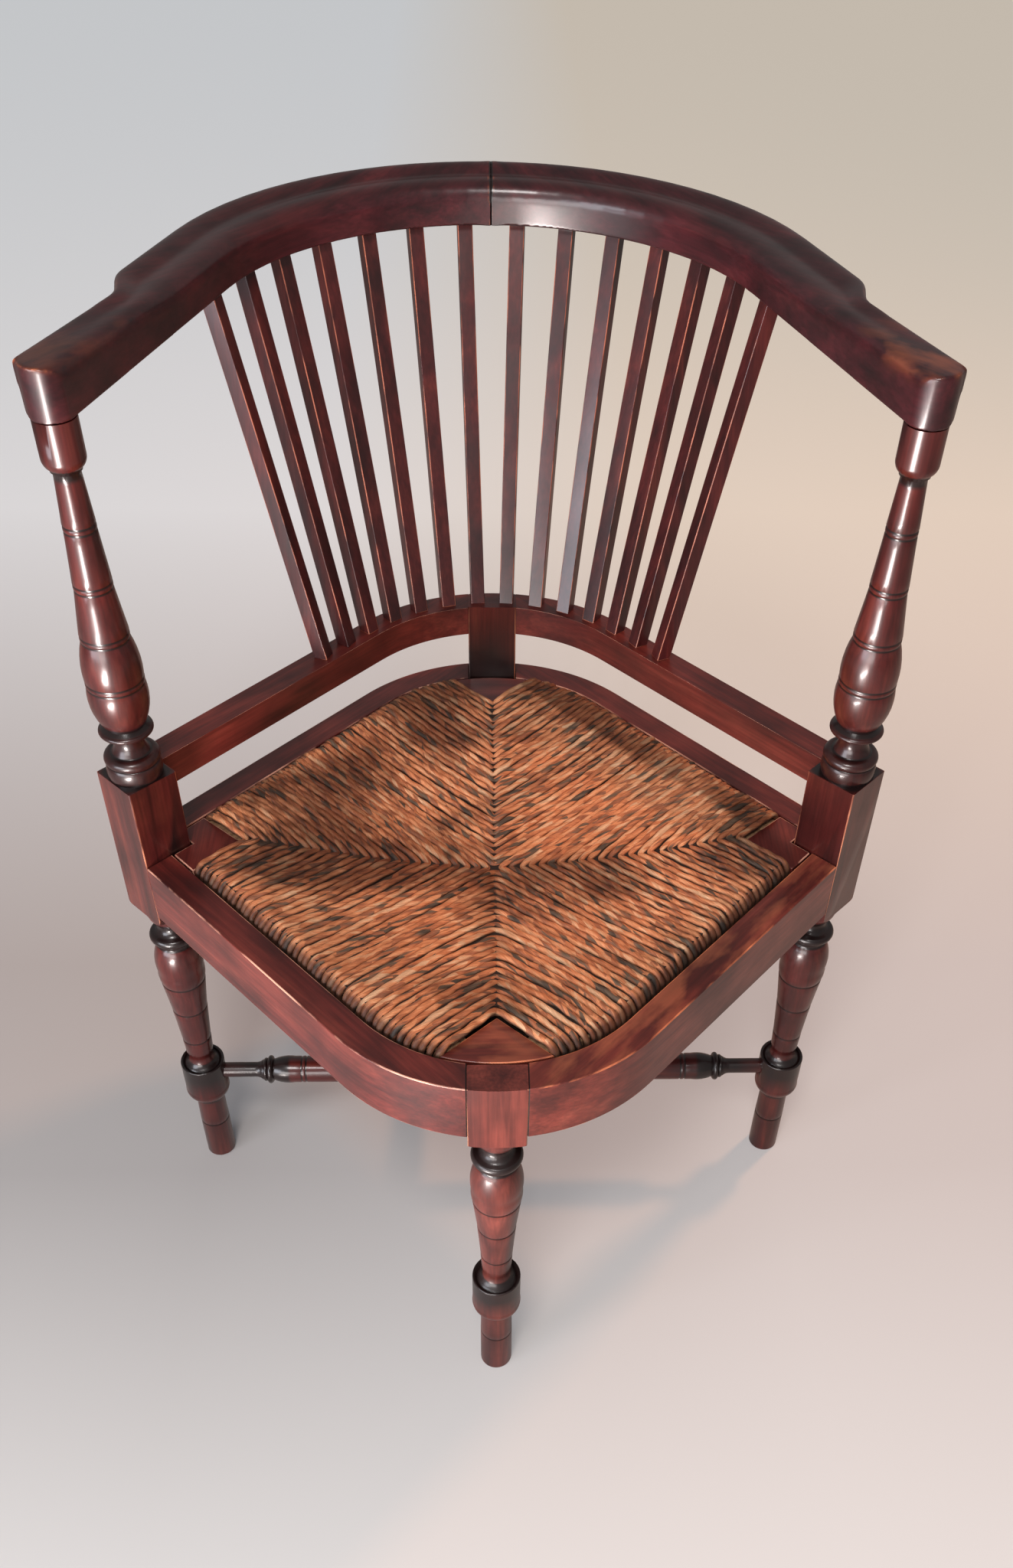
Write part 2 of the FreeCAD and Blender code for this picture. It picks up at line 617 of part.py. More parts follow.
def stretcher_half(half_length, ring):
    """Profile from one end to the middle; `ring` is the height of the double ring above that end."""
    end_radius, body = S["stretcher_end_radius"], S["stretcher_body_radius"]
    corners = [(0.0, -half_length), (end_radius - 0.8, -half_length), (end_radius, 0.8 - half_length)]
    corners.append((end_radius, ring - 12.0))
    curved(corners, end_radius + 2.6, ring - 5.0, -0.1)
    corners.append((end_radius + 2.6, ring - 4.0))
    curved(corners, end_radius + 2.6, ring, BEAD)
    corners.append((S["stretcher_ring_radius"] - 1.5, ring + 0.3))
    curved(corners, S["stretcher_ring_radius"] - 1.5, ring + 5.0, 0.32)
    corners.append((body - 2.6, ring + 6.0))
    curved(corners, body, ring + S["stretcher_line_in"] * 0.75, SWELL * 1.4)
    corners += double_scored(body, ring + S["stretcher_line_in"])
    return corners


def stretcher(node, half_length, ring_in, turn):
    """Whole stretcher lying on its side; `turn` is its direction in plan."""
    ring = ring_in - half_length
    first = stretcher_half(half_length, ring)
    corners = first + [
        (radius, -z) for radius, z in ((corner[0], corner[1]) for corner in reversed(first))
    ]
    for index in range(len(first)):
        following = len(first) - 1 - index
        if len(first[following]) == 3:
            mate = corners[len(first) + index + 1]
            corners[len(first) + index + 1] = (mate[0], mate[1], first[following][2])
    body = turning(f"{node}_turned", corners)
    body.Placement.Rotation = FreeCAD.Rotation(
        FreeCAD.Vector(0, 0, 1),
        FreeCAD.Vector(round(math.cos(math.radians(turn))), round(math.sin(math.radians(turn))), 0))
    body.setExpression("Placement.Base.z", S["stretcher_z"].text)
    return body


end_inset = S["cup_radius"] - S["stretcher_entry"]
lap = S["stretcher_body_radius"] * 2 + slack * 2
for node, reach, turn, lap_z in (
    ("side_stretcher", S["side_post_x"], 0.0, S["stretcher_z"]),
    ("front_rear_stretcher", S["leg_y"], 90.0, S["stretcher_z"] - S["stretcher_body_radius"] * 2),
):
    half_length = reach - end_inset
    turned = stretcher(node, half_length, S["stretcher_ring_in"] - end_inset, turn)
    notch = box(f"{node}_lap", lap, lap, S["stretcher_body_radius"] * 2, zero, zero, lap_z)
    finish(node, cut(f"{node}_cut", turned, [notch]))

# ---- crest rail ----------------------------------------------------------------------------------

arm_inset = S["nose_radius"] - S["nose_proud"]
bow_offset = math.hypot(S["side_post_x"], S["crest_centre_y"])
arm_angle = (math.acos((S["crest_bow"] + arm_inset) / bow_offset)
             - math.atan2(S["crest_centre_y"], S["side_post_x"]))
arm_out = FreeCAD.Vector(math.cos(arm_angle), math.sin(arm_angle), 0)
arm_way = FreeCAD.Vector(-math.sin(arm_angle), math.cos(arm_angle), 0)
bow_centre = FreeCAD.Vector(0, S["crest_centre_y"], 0)
arm_start = FreeCAD.Vector(S["side_post_x"], 0, 0) - arm_out * float(arm_inset)
arm_length = (bow_centre + arm_out * float(S["crest_bow"]) - arm_start).dot(arm_way)
bow_length = (math.pi / 2 - arm_angle) * S["crest_bow"]

# Upper edge of a section as shares of its width and height, from the inner face to the outer face:
# an arm rounded over to its inner face, and a back that leans away to a hollow and a rolled edge.
ARM_TOP = ((0, .62), (0, .80), (.08, .93), (.28, .975), (.50, .985), (.76, .99), (1, .99), (1, .93))
BACK_TOP = ((0, .48), (.01, .68), (.14, .84), (.42, .88), (.56, .84), (.70, 1.03), (1, 1.05), (1, .88))
BOW_STEPS = 14
SHOULDER_STEPS = 6


def ease(share):
    """Smooth step from 0 to 1."""
    share = min(max(share, 0.0), 1.0)
    return share * share * (3 - 2 * share)


def crest_frame(distance):
    """Point of the crest's inner lower edge and the outward direction there, on the right-hand side."""
    if distance <= arm_length:
        return arm_start + arm_way * distance, arm_out
    angle = arm_angle + (distance - arm_length) / S["crest_bow"]
    out = FreeCAD.Vector(math.cos(angle), math.sin(angle), 0)
    return bow_centre + out * float(S["crest_bow"]), out


def crest_section(distance):
    """Closed wire across the left half at a distance from the post's axis, measured along its inner edge."""
    start, run = float(S["shoulder_start"]), float(S["shoulder_run"])
    arm_share = min(max(distance / start, 0.0), 1.0)
    width = S["arm_end_width"] + (S["arm_width"] - S["arm_end_width"]) * arm_share
    width = width + (S["crest_width"] - S["arm_width"]) * ease((distance - start) / run)
    lean = S["arm_end_lean"] * (1 - arm_share)
    carved = ease(distance / (start + run * 1.6))
    height = float(S["crest_height"])
    base, out = crest_frame(distance)

    def at(across, up):
        point = base + out * across
        return FreeCAD.Vector(-point.x, point.y, S["crest_bottom_z"] + up)

    top = [
        at((width + lean) * (arm[0] * (1 - carved) + back[0] * carved),
           height * (arm[1] * (1 - carved) + back[1] * carved))
        for arm, back in zip(ARM_TOP, BACK_TOP)
    ]
    upper = Part.BSplineCurve()
    upper.buildFromPoles(top, False, 3)
    inner, outer = at(0, 0), at(width, 0)
    return Part.Wire([
        Part.makeLine(inner, top[0]), upper.toShape(),
        Part.makeLine(top[-1], outer), Part.makeLine(outer, inner),
    ])


crest_stations = [-1.4 * S["nose_radius"]] + [arm_length * share for share in (0.0, 0.14, 0.28, 0.40)]
crest_stations += [
    float(S["shoulder_start"]) + float(S["shoulder_run"]) * step / SHOULDER_STEPS
    for step in range(SHOULDER_STEPS + 1)
]
crest_stations += [arm_length * share for share in (0.72, 0.86)]
crest_stations += [arm_length + bow_length * step / BOW_STEPS for step in range(BOW_STEPS + 1)]

# ---- spindles ------------------------------------------------------------------------------------

TURN = 180 / math.pi
mid_line = S["rail_bow"] - S["mid_rail_thickness"] / 2
top_line = S["crest_bow"] + S["spindle_setback"]
mid_bow_end = math.degrees(math.atan2(out_x, out_y))
top_bow_end = 90 - math.degrees(arm_angle)


def along_curve(distance, radius, centre_y, bow_end, way):
    """Point at a distance from the middle of a bowed line that runs on straight beyond `bow_end` degrees."""
    angle = distance / radius * TURN
    if angle < bow_end:
        return radius * sine(angle), centre_y + radius * cosine(angle)
    beyond = distance - radius * (bow_end / TURN)
    turn = math.radians(bow_end)
    return (radius * math.sin(turn) + beyond * way[0], centre_y + radius * math.cos(turn) + beyond * way[1])


def ring(name, kind, radius, x, y, z, turn=0.0):
    """Circle or square that a spindle is lofted through."""
    item = doc.addObject(kind, name)
    if kind == "Part::RegularPolygon":
        item.Polygon = 4
        item.Circumradius = float(radius)
        item.setExpression("Circumradius", radius.text)
    else:
        item.Radius = float(radius)
        item.setExpression("Radius", radius.text)
    return place(item, x, y, z, turn)


def loft(name, rings):
    item = doc.addObject("Part::Loft", name)
    item.Sections = rings
    item.Solid = True
    item.Ruled = True
    return item


holes = {(rail, side_name): [] for rail in ("mid", "crest") for side_name in SIDES}
for side_name, side in SIDES.items():
    for index in range(SPINDLES_PER_SIDE):
        node = f"spindle_{side_name}_{index + 1}"
        low_x, low_y = along_curve(S["spindle_first"] + index * S["spindle_pitch"], mid_line, bow_y,
                                   mid_bow_end, (-along_x, -along_y))
        along_top = S["spindle_top_first"] + index * S["spindle_top_pitch"]
        if index == SPINDLES_PER_SIDE - 1:
            along_top = along_top + S["spindle_top_last"]
        top_x, top_y = along_curve(along_top, top_line, S["crest_centre_y"], top_bow_end,
                                   (-arm_way.x, -arm_way.y))
        low_z, top_z = S["mid_rail_top"], S["crest_bottom_z"]
        rise = top_z - low_z
        # A corner of the square stands 45 degrees from the direction that the spindle faces.
        facing = 45 - math.degrees(math.atan2(float(low_x) * side, float(low_y - bow_y)))

        def station(beyond, share):
            """Plan point on the spindle's axis, `beyond` millimetres above its foot or head."""
            step = share + beyond / rise
            return (low_x + (top_x - low_x) * step) * side, low_y + (top_y - low_y) * step

        half_diagonal = S["spindle_side"] * DIAGONAL
        bar = loft(f"{node}_bar", [
            ring(f"{node}_{label}", "Part::RegularPolygon", half_diagonal, *station(zero, share), z, facing)
            for label, share, z in (("foot", 0, low_z), ("head", 1, top_z))
        ])
        length = S["spindle_pin_length"]
        pin = loft(f"{node}_pin", [
            ring(f"{node}_pin_low", "Part::Circle", S["spindle_pin"], *station(-length, 0), low_z - length),
            ring(f"{node}_pin_top", "Part::Circle", S["spindle_pin"], *station(length, 1), top_z + length),
        ])
        deep = length + S["shoulder_gap"]
        for rail, share, end_z, way in (("mid", 0, low_z, -1), ("crest", 1, top_z, 1)):
            rings = [
                ring(f"{node}_{rail}_hole_{label}", "Part::Circle", S["spindle_pin"] + slack,
                     *station(beyond, share), end_z + beyond)
                for label, beyond in (("end", deep * way), ("mouth", deep * (-0.1 * way)))
            ]
            holes[rail, side_name].append(loft(f"{node}_{rail}_hole", rings))
        finish(node, joined(f"{node}_whole", [bar, pin]))

dowels = []
for number, share in enumerate((0.30, 0.68), start=1):
    y = S["crest_centre_y"] + S["crest_bow"] + S["crest_width"] * share
    z = S["crest_bottom_z"] + S["crest_height"] * 0.4
    for kind, radius, length in (
        ("dowel", S["crest_dowel_radius"], S["crest_dowel_length"]),
        ("bore", S["crest_dowel_radius"] + slack, S["crest_dowel_length"] + S["shoulder_gap"] * 2),
    ):
        rod = cylinder(f"crest_{kind}_{number}", radius, length, length / -2, y, z)
        rod.Placement.Rotation = FreeCAD.Rotation(FreeCAD.Vector(0, 1, 0), 90)
        dowels.append(rod)
finish("crest_dowels", joined("crest_dowel_pair", dowels[0::2]))

blank = doc.addObject("Part::Feature", "crest_blank")
blank.Shape = Part.makeLoft([crest_section(distance) for distance in crest_stations], True, True)


def end_tool(name, inner, outer, front, back):
    """Box over the arm's end, its edges measured outwards and backwards from the post's axis."""
    across, along = (inner + outer) / 2, (front + back) / 2
    return box(name, outer - inner, back - front, S["crest_height"] * 2,
               -S["side_post_x"] - across * arm_out.x - along * arm_way.x,
               across * arm_out.y + along * arm_way.y,
               S["crest_bottom_z"] - S["crest_height"] / 2, -math.degrees(arm_angle))


# The end is sawn round the post's axis, and left square at its outer corner.
clear_of_end = S["nose_radius"] * 2
round_end = cylinder("crest_round_end", S["nose_radius"], S["crest_height"] * 2,
                     -S["side_post_x"], zero, S["crest_bottom_z"] - S["crest_height"] / 2)
waste = cut("crest_waste", end_tool("crest_end_box", -clear_of_end, clear_of_end, -clear_of_end, zero),
            [round_end, end_tool("crest_end_corner", zero, clear_of_end, -S["nose_corner"], zero + 1.0)])
socket = cylinder("crest_socket", S["arm_pin_radius"] + slack, S["arm_pin_length"] + S["shoulder_gap"],
                  -S["side_post_x"], zero, S["crest_bottom_z"])
left_half = cut("crest_left_half", blank, holes["crest", "left"] + [socket, waste] + dowels[1::2])
right_half = doc.addObject("Part::Mirroring", "crest_right_half")
right_half.Source = left_half
right_half.Normal = (1, 0, 0)
finish("crest_rail_left", left_half)
finish("crest_rail_right", right_half)

# The spindles next to the middle stand in the rear leg's block, between the two middle rails.
finish("rear_leg", cut("rear_leg_pinned", legs["rear"], [holes["mid", side_name][0] for side_name in SIDES]))

for side_name in SIDES:
    finish(f"mid_rail_{side_name}",
           cut(f"mid_rail_{side_name}_cut", mid_blanks[side_name], holes["mid", side_name]))

# ---- drop-in seat --------------------------------------------------------------------------------

seat_radius = S["rail_bow"] - S["rail_thickness"] - S["seat_clearance"]
corner_z = S["seat_height"] - S["corner_thickness"]
frame_top = S["seat_height"] - 1.0
frame_z = frame_top - S["frame_rail_thickness"]


def outline_line(radius):
    """Distance from the chair's middle to the straight part of a curve with the given bow radius."""
    return radius + bow_y * out_y


def step_out(x, y, distance):
    """Point moved outwards, square to the rail."""
    return x + distance * out_x, y + distance * out_y


def to_line(x, y, radius):
    """Distance from a point out to that straight part."""
    return outline_line(radius) - (x * out_x + y * out_y)


def to_bow(y, radius):
    """Distance from a point on the centre line, square to the rail, out to the bow."""
    drop = y - bow_y
    return root(drop * drop * (out_y * out_y) + radius * radius - drop * drop) - drop * out_y


def side_corner_plan(side):
    """Corner block beside a side post, notched round the post's block."""
    apex = S["side_apex_x"]
    notch = S["side_post_x"] - block_diagonal - S["seat_clearance"] / DIAGONAL
    far = step_out(apex, zero, to_line(apex, zero, seat_radius))
    reach = to_line(notch, zero, seat_radius) / (out_x + out_y)
    beside = (notch + reach, reach)
    rear = [(apex, zero), far, beside]
    front = [(notch, zero), (beside[0], -beside[1]), (far[0], -far[1])]
    return [(x * side, y) for x, y in rear + front]


def leg_corner_plan(end):
    """Three-sided corner block beside the front or rear leg."""
    apex = S["leg_apex_y"]
    far = step_out(zero, apex, to_bow(apex, seat_radius))
    return [(zero, apex * end), (far[0], far[1] * end), (-far[0], far[1] * end, seat_radius * end)]


def frame_rail_plan(grow):
    """Rail inside the rush, in the quarter of positive x and y; `grow` widens it into its slot."""
    radius = seat_radius - S["rush_wrap"] + grow
    beyond = grow * 8
    side_x, side_y = S["side_apex_x"] - along_x * beyond, -along_y * beyond
    leg_x, leg_y = along_x * beyond, S["leg_apex_y"] + along_y * beyond
    width = S["frame_rail_width"] + grow * 2
    across = leg_x * out_x + (leg_y - bow_y) * out_y
    lengthwise = leg_x * along_x + (leg_y - bow_y) * along_y
    to_arc = root(radius * radius - lengthwise * lengthwise) - across
    return [
        step_out(side_x, side_y, to_line(side_x, side_y, radius)),
        (out_x * radius, bow_y + out_y * radius),
        step_out(leg_x, leg_y, to_arc) + (radius,),
        step_out(leg_x, leg_y, to_line(leg_x, leg_y, radius) - width),
        step_out(side_x, side_y, to_line(side_x, side_y, radius) - width),
    ]


def tongue(name, side, end, x, y, way, slack):
    """Tongue from the end of a frame rail into a corner block; `way` is -1 at the side post, 1 at the leg."""
    radius = seat_radius - S["rush_wrap"]
    outer = to_line(x, y, radius) if way < 0 else to_bow(y, radius)
    inner = to_line(x, y, radius) - S["frame_rail_width"]
    foot_x, foot_y = step_out(x, y, (outer + inner) / 2)
    reach = S["seat_tongue"] + slack * 4
    lap = (reach - TENON_ROOT) * (way / 2)
    heading = math.degrees(math.atan2(along_y * end, along_x * side))
    return box(name, reach + TENON_ROOT, S["seat_tongue_width"] + slack * 2,
               S["seat_tongue_thickness"] + slack * 2,
               (foot_x + along_x * lap) * side, (foot_y + along_y * lap) * end,
               frame_z + (S["frame_rail_thickness"] - S["seat_tongue_thickness"]) / 2 - slack, heading)


tongue_slots = {"left": [], "right": [], "front": [], "rear": []}
slots = []
for end_name, end in ENDS.items():
    for side_name, side in SIDES.items():
        node = f"seat_frame_{end_name}_{side_name}"
        rail = slab(f"{node}_rail", mirror(frame_rail_plan(zero), side, end),
                    S["frame_rail_thickness"], frame_z)
        slots.append(slab(f"{node}_slot", mirror(frame_rail_plan(S["rush_gap"]), side, end),
                          S["frame_rail_thickness"] + S["rush_gap"] * 2, frame_z - S["rush_gap"]))
        tongues = []
        for corner_name, x, y, way in ((side_name, S["side_apex_x"], zero, -1),
                                       (end_name, zero, S["leg_apex_y"], 1)):
            tongues.append(tongue(f"{node}_{corner_name}_tongue", side, end, x, y, way, no_slack))
            tongue_slots[corner_name].append(
                tongue(f"{node}_{corner_name}_groove", side, end, x, y, way, slack))
        finish(node, joined(f"{node}_whole", [rail] + tongues))

for corner_name, plan in (("left", side_corner_plan(-1)), ("right", side_corner_plan(1)),
                          ("front", leg_corner_plan(-1)), ("rear", leg_corner_plan(1))):
    block = slab(f"seat_corner_{corner_name}_block", plan, S["corner_thickness"], corner_z)
    finish(f"seat_corner_{corner_name}",
           cut(f"seat_corner_{corner_name}_cut", block, tongue_slots[corner_name]))


def rush_plan():
    """Outline of the rush: four bowed edges between the corner blocks."""
    side_x = S["side_apex_x"] + S["rush_gap"] / along_x
    leg_y = S["leg_apex_y"] - S["rush_gap"] / along_y
    side_far = step_out(side_x, zero, to_line(side_x, zero, seat_radius))
    bend = (out_x * seat_radius, bow_y + out_y * seat_radius)
    leg_far = step_out(zero, leg_y, to_bow(leg_y, seat_radius))
    quarter = [(side_x, zero), side_far, bend, leg_far + (seat_radius,), (zero, leg_y)]
    whole = list(quarter)
    for side, end, forward in ((-1, 1, False), (-1, -1, True), (1, -1, False)):
        if forward:
            whole += [(side * corner[0], end * corner[1]) + tuple(corner[2:]) for corner in quarter[1:]]
        else:
            back = [quarter[3][:2], bend + (seat_radius,), side_far, (side_x, zero)]
            whole += [(side * corner[0], end * corner[1]) + tuple(corner[2:]) for corner in back]
    return whole[:-1]


rush_z = frame_z - S["rush_wrap"]
rush_top = S["seat_height"] + S["rush_rise"]
rush = slab("rush_blank", rush_plan(), rush_top - rush_z, rush_z)
dish = doc.addObject("Part::Sphere", "rush_dish")
dish_radius = (S["rush_dish"] * S["rush_dish"] + S["rush_sag"] * S["rush_sag"]) / (S["rush_sag"] * 2)
dish.Radius = float(dish_radius)
dish.setExpression("Radius", dish_radius.text)
place(dish, zero, zero, rush_top - S["rush_sag"] + dish_radius)
finish("rush_seat", cut("rush_cut", rush, slots + [dish]))

for side_name, side in SIDES.items():
    inner_x = S["side_post_x"] - S["rail_thickness"] * DIAGONAL
    inner_y = block_diagonal - S["rail_thickness"] * DIAGONAL
    far_x, far_y = inner_x + along_x * S["bracket_reach"], inner_y + along_y * S["bracket_reach"]
    plan = [(S["side_post_x"] - block_diagonal, zero), (inner_x, inner_y), (far_x, far_y),
            (far_x, -far_y), (inner_x, -inner_y)]
    finish(f"corner_bracket_{side_name}",
           slab(f"corner_bracket_{side_name}_block", [(x * side, y) for x, y in plan],
                S["bracket_height"], corner_z - S["bracket_height"]))

# ---- check and write -----------------------------------------------------------------------------

doc.recompute()
for item in NODES.values():
    if item is not right_half:  # the mirror image moves with its source
        item.setExpression("Placement.Base.y", centring.text)
doc.recompute()

faults = [item.Name for item in doc.Objects if "Invalid" in item.State or "Error" in item.State]
faults += [
    node for node, item in NODES.items()
    if item.Shape.isNull() or not item.Shape.isValid() or not item.Shape.Solids
]
if faults:
    raise RuntimeError(f"not built: {faults}")

os.makedirs("parts", exist_ok=True)
for node, item in NODES.items():
    item.Shape.exportStep(f"parts/{node}.step")
    print(node, len(item.Shape.Solids), round(item.Shape.Volume))
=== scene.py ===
"""Dresses the corner chair: its woods, the woven rush seat, and a plain stage."""

import math

import bmesh
import bpy
import numpy as np
from bpy.props import FloatProperty, FloatVectorProperty, IntProperty, PointerProperty
from mathutils import Matrix, Vector


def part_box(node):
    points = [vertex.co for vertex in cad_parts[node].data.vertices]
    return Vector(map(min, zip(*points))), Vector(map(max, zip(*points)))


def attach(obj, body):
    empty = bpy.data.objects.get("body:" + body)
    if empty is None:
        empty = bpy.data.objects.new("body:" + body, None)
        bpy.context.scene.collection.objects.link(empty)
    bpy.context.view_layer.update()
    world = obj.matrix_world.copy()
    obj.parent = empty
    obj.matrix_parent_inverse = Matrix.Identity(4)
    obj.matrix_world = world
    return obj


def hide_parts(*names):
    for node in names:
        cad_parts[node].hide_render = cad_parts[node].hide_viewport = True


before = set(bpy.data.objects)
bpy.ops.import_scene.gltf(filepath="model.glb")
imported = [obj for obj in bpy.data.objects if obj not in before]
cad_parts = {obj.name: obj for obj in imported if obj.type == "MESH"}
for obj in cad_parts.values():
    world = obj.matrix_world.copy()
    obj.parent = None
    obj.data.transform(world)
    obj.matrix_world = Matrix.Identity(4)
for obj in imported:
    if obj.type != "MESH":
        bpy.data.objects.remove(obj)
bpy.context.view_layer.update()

bl_info = {
    "name": "Corner chair",
    "version": (1, 0, 0),
    "blender": (4, 5, 0),
    "location": "3D View > Sidebar > Corner chair",
    "description": "Wood finishes, woven rush seat and stage for the corner chair",
    "category": "Object",
}

MM = 0.001
SIDES = {"left": -1, "right": 1}
ENDS = {"front": -1, "rear": 1}
SPINDLES_PER_SIDE = 7
# The side posts stand on the line Y = POST_LINE, because the origin is under the middle of the chair.
POST_LINE = (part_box("side_post_left")[0].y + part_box("side_post_left")[1].y) / 2
SIDE_POST_X = (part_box("side_post_right")[0].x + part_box("side_post_right")[1].x) / 2
# Stained bands of the turned pieces: axis, where they start and end along it in millimetres, and how dark.
LEG_BANDS = ((2, 138.6, 145.0, 0.8), (2, 304.0, 334.0, 0.85))
POST_BANDS = (*LEG_BANDS, (2, 495.5, 541.0, 0.33), (2, 746.0, 751.5, 0.6))
STRETCHER_BANDS = ((0, 204.0, 270.0, 0.6),), ()
CREST_BANDS = ((0, -1.0, 0.9, 0.9), (2, 780.0, 787.0, 0.7))
# How far the blocks reach: a side post's along X and Y together, and the legs' along X beyond LEG_LINE.
SIDE_BLOCK_REACH, LEG_BLOCK_REACH, LEG_LINE = 33.2 * MM, 23.8 * MM, 200 * MM
SHARP, CREASE = math.radians(30), math.radians(38)  # turned faces that are rounded, and that stay creased
CREST_CELL, CREST_ROUNDS = 1.3 * MM, 14  # cells that the crest is rebuilt in, and how often it is evened
ARM_START = POST_LINE + 0.08  # the tops of the arms are rubbed forward of this


# ---- colours and nodes ---------------------------------------------------------------------------


def paint(hex_colour):
    """sRGB hex colour as linear red, green, blue and alpha."""
    parts = [int(hex_colour[start:start + 2], 16) / 255 for start in (0, 2, 4)]
    linear = [part / 12.92 if part <= 0.04045 else ((part + 0.055) / 1.055) ** 2.4 for part in parts]
    return (*linear, 1.0)


def add(material, kind, links=None, **settings):
    """Adds a node. `settings` are its own settings, or defaults of its inputs where it has such an
    input; `links` gives the output that feeds each input. Inputs are named, or numbered as i0, i1."""
    node = material.node_tree.nodes.new(kind)

    def socket(name):
        return node.inputs[int(name[1:])] if name[0] == "i" and name[1:].isdigit() else node.inputs[name]

    for name, value in settings.items():
        if name[0] == "i" and name[1:].isdigit():
            socket(name).default_value = value
        elif name in node.inputs.keys():
            node.inputs[name].default_value = value
        else:
            setattr(node, name, value)
    for name, output in (links or {}).items():
        material.node_tree.links.new(output, socket(name))
    return node


def ramp(material, factor, stops):
    """Colour output of a ramp through (position, hex colour) stops."""
    node = add(material, "ShaderNodeValToRGB", {"Fac": factor})
    elements = node.color_ramp.elements
    while len(elements) < len(stops):
        elements.new(0.5)
    for element, (position, colour) in zip(elements, stops):
        element.position, element.color = position, paint(colour)
    return node.outputs["Color"]


def blended(material, factor, first, second, kind="MIX"):
    """Colour output that goes from one colour to another by a factor."""
    node = add(material, "ShaderNodeMix", data_type="RGBA", blend_type=kind)
    for index, value in ((0, factor), (6, first), (7, second)):
        if isinstance(value, (float, tuple)):
            node.inputs[index].default_value = value
        else:
            material.node_tree.links.new(value, node.inputs[index])
    return node.outputs[2]


def spread(material, value, low, high, to_low=0.0, to_high=1.0):
    """Value moved from one range to another and held inside it."""
    node = add(material, "ShaderNodeMapRange", {"Value": value}, clamp=True)
    for name, number in (("From Min", low), ("From Max", high), ("To Min", to_low), ("To Max", to_high)):
        node.inputs[name].default_value = number
    return node.outputs["Result"]


def reckoned(material, operation, first, second=None):
    """Output of a sum with one or two values, each of them an output or a number."""
    node = add(material, "ShaderNodeMath", operation=operation)
    for socket, value in zip(node.inputs, (first, second)):
        if isinstance(value, (int, float)):
            socket.default_value = value
        elif value is not None:
            material.node_tree.links.new(value, socket)
    return node.outputs[0]


def blank_material(name, **surface):
    """New material with one Principled shader, and that shader."""
    material = bpy.data.materials.new(name)
    material.use_nodes = True
    material.node_tree.nodes.clear()
    shader = add(material, "ShaderNodeBsdfPrincipled", **surface)
    out = add(material, "ShaderNodeOutputMaterial")
    material.node_tree.links.new(shader.outputs["BSDF"], out.inputs["Surface"])
    return material, shader


def grained(material, stretch, scale, detail=4.0, distortion=0.0, roughness=0.5):
    """Noise drawn out along the grain by `stretch`; `scale` is in waves per metre across the grain."""
    grain = add(material, "ShaderNodeAttribute", attribute_name="grain").outputs["Vector"]
    lengthened = add(material, "ShaderNodeMapping", {"Vector": grain}, Scale=(1 / stretch, 1, 1))
    return add(
        material, "ShaderNodeTexNoise", {"Vector": lengthened.outputs["Vector"]}, Scale=scale,
        Detail=detail, Distortion=distortion, Roughness=roughness,
    ).outputs["Fac"]


# ---- materials -----------------------------------------------------------------------------------


def shellacked_wood(name, deep, middle, light, worn_and_lit, gloss):
    """Mahogany stained red-brown, planed and French polished: a smooth thin gloss over fine long
    streaks, rubbed through to paler pink-brown wood along the arrises and nearly black in the hollows
    and scored lines, where stain and wax have gathered."""
    material, shader = blank_material(
        name, IOR=1.45, **{"Coat Weight": 0.5, "Coat Roughness": gloss * 0.6, "Coat IOR": 1.5})
    streaks = grained(material, 26.0, 420.0, detail=5.0, distortion=0.3)
    figure = grained(material, 9.0, 42.0, detail=3.0, distortion=1.2)
    cloud = grained(material, 1.6, 26.0, detail=4.0)
    base = ramp(material, spread(material, figure, 0.2, 0.8), ((0.0, deep), (0.5, middle), (1.0, light)))
    dark = ramp(material, spread(material, streaks, 0.35, 0.7), ((0.0, "8A8284"), (1.0, "FFFFFF")))
    wood = blended(material, 0.5, base, dark, "MULTIPLY")
    patina = ramp(material, spread(material, cloud, 0.3, 0.7), ((0.0, "887A7E"), (1.0, "FFFFFF")))
    wood = blended(material, 0.85, wood, patina, "MULTIPLY")
    # Paler rubbed-through wood along the arrises and arm tops, and on the top faces that take painted light.
    wear_and_lit_top = add(material, "ShaderNodeAttribute", attribute_name="worn_and_lit").outputs["Fac"]
    patchy = grained(material, 3.0, 60.0, detail=4.0)
    rubbed = reckoned(material, "MULTIPLY", wear_and_lit_top, spread(material, patchy, 0.42, 0.6))
    wood = blended(material, rubbed, wood, paint(worn_and_lit))
    gathered = add(material, "ShaderNodeAttribute", attribute_name="stained").outputs["Fac"]
    wood = blended(material, spread(material, gathered, 0.0, 0.5, 0.0, 0.94), wood, paint("120A0A"))
    material.node_tree.links.new(wood, shader.inputs["Base Color"])
    material.node_tree.links.new(spread(material, cloud, 0.3, 0.7, gloss + 0.12, gloss),
                                 shader.inputs["Roughness"])
    pores = add(material, "ShaderNodeBump", {"Height": streaks}, Strength=0.25, Distance=0.12 * MM)
    uneven = add(material, "ShaderNodeBump", {"Height": cloud, "Normal": pores.outputs["Normal"]},
                 Strength=0.5, Distance=0.8 * MM)
    material.node_tree.links.new(uneven.outputs["Normal"], shader.inputs["Normal"])
    return material


def sawn_hardwood():
    """Bare sawn hardwood, never finished, dusty and matt, with streaks along the grain."""
    material, shader = blank_material("sawn_hardwood", IOR=1.5, Roughness=0.78)
    streaks = grained(material, 14.0, 300.0, detail=5.0)
    wood = ramp(material, spread(material, streaks, 0.3, 0.7), ((0.0, "6B4A33"), (1.0, "A07A58")))
    material.node_tree.links.new(wood, shader.inputs["Base Color"])
    return material


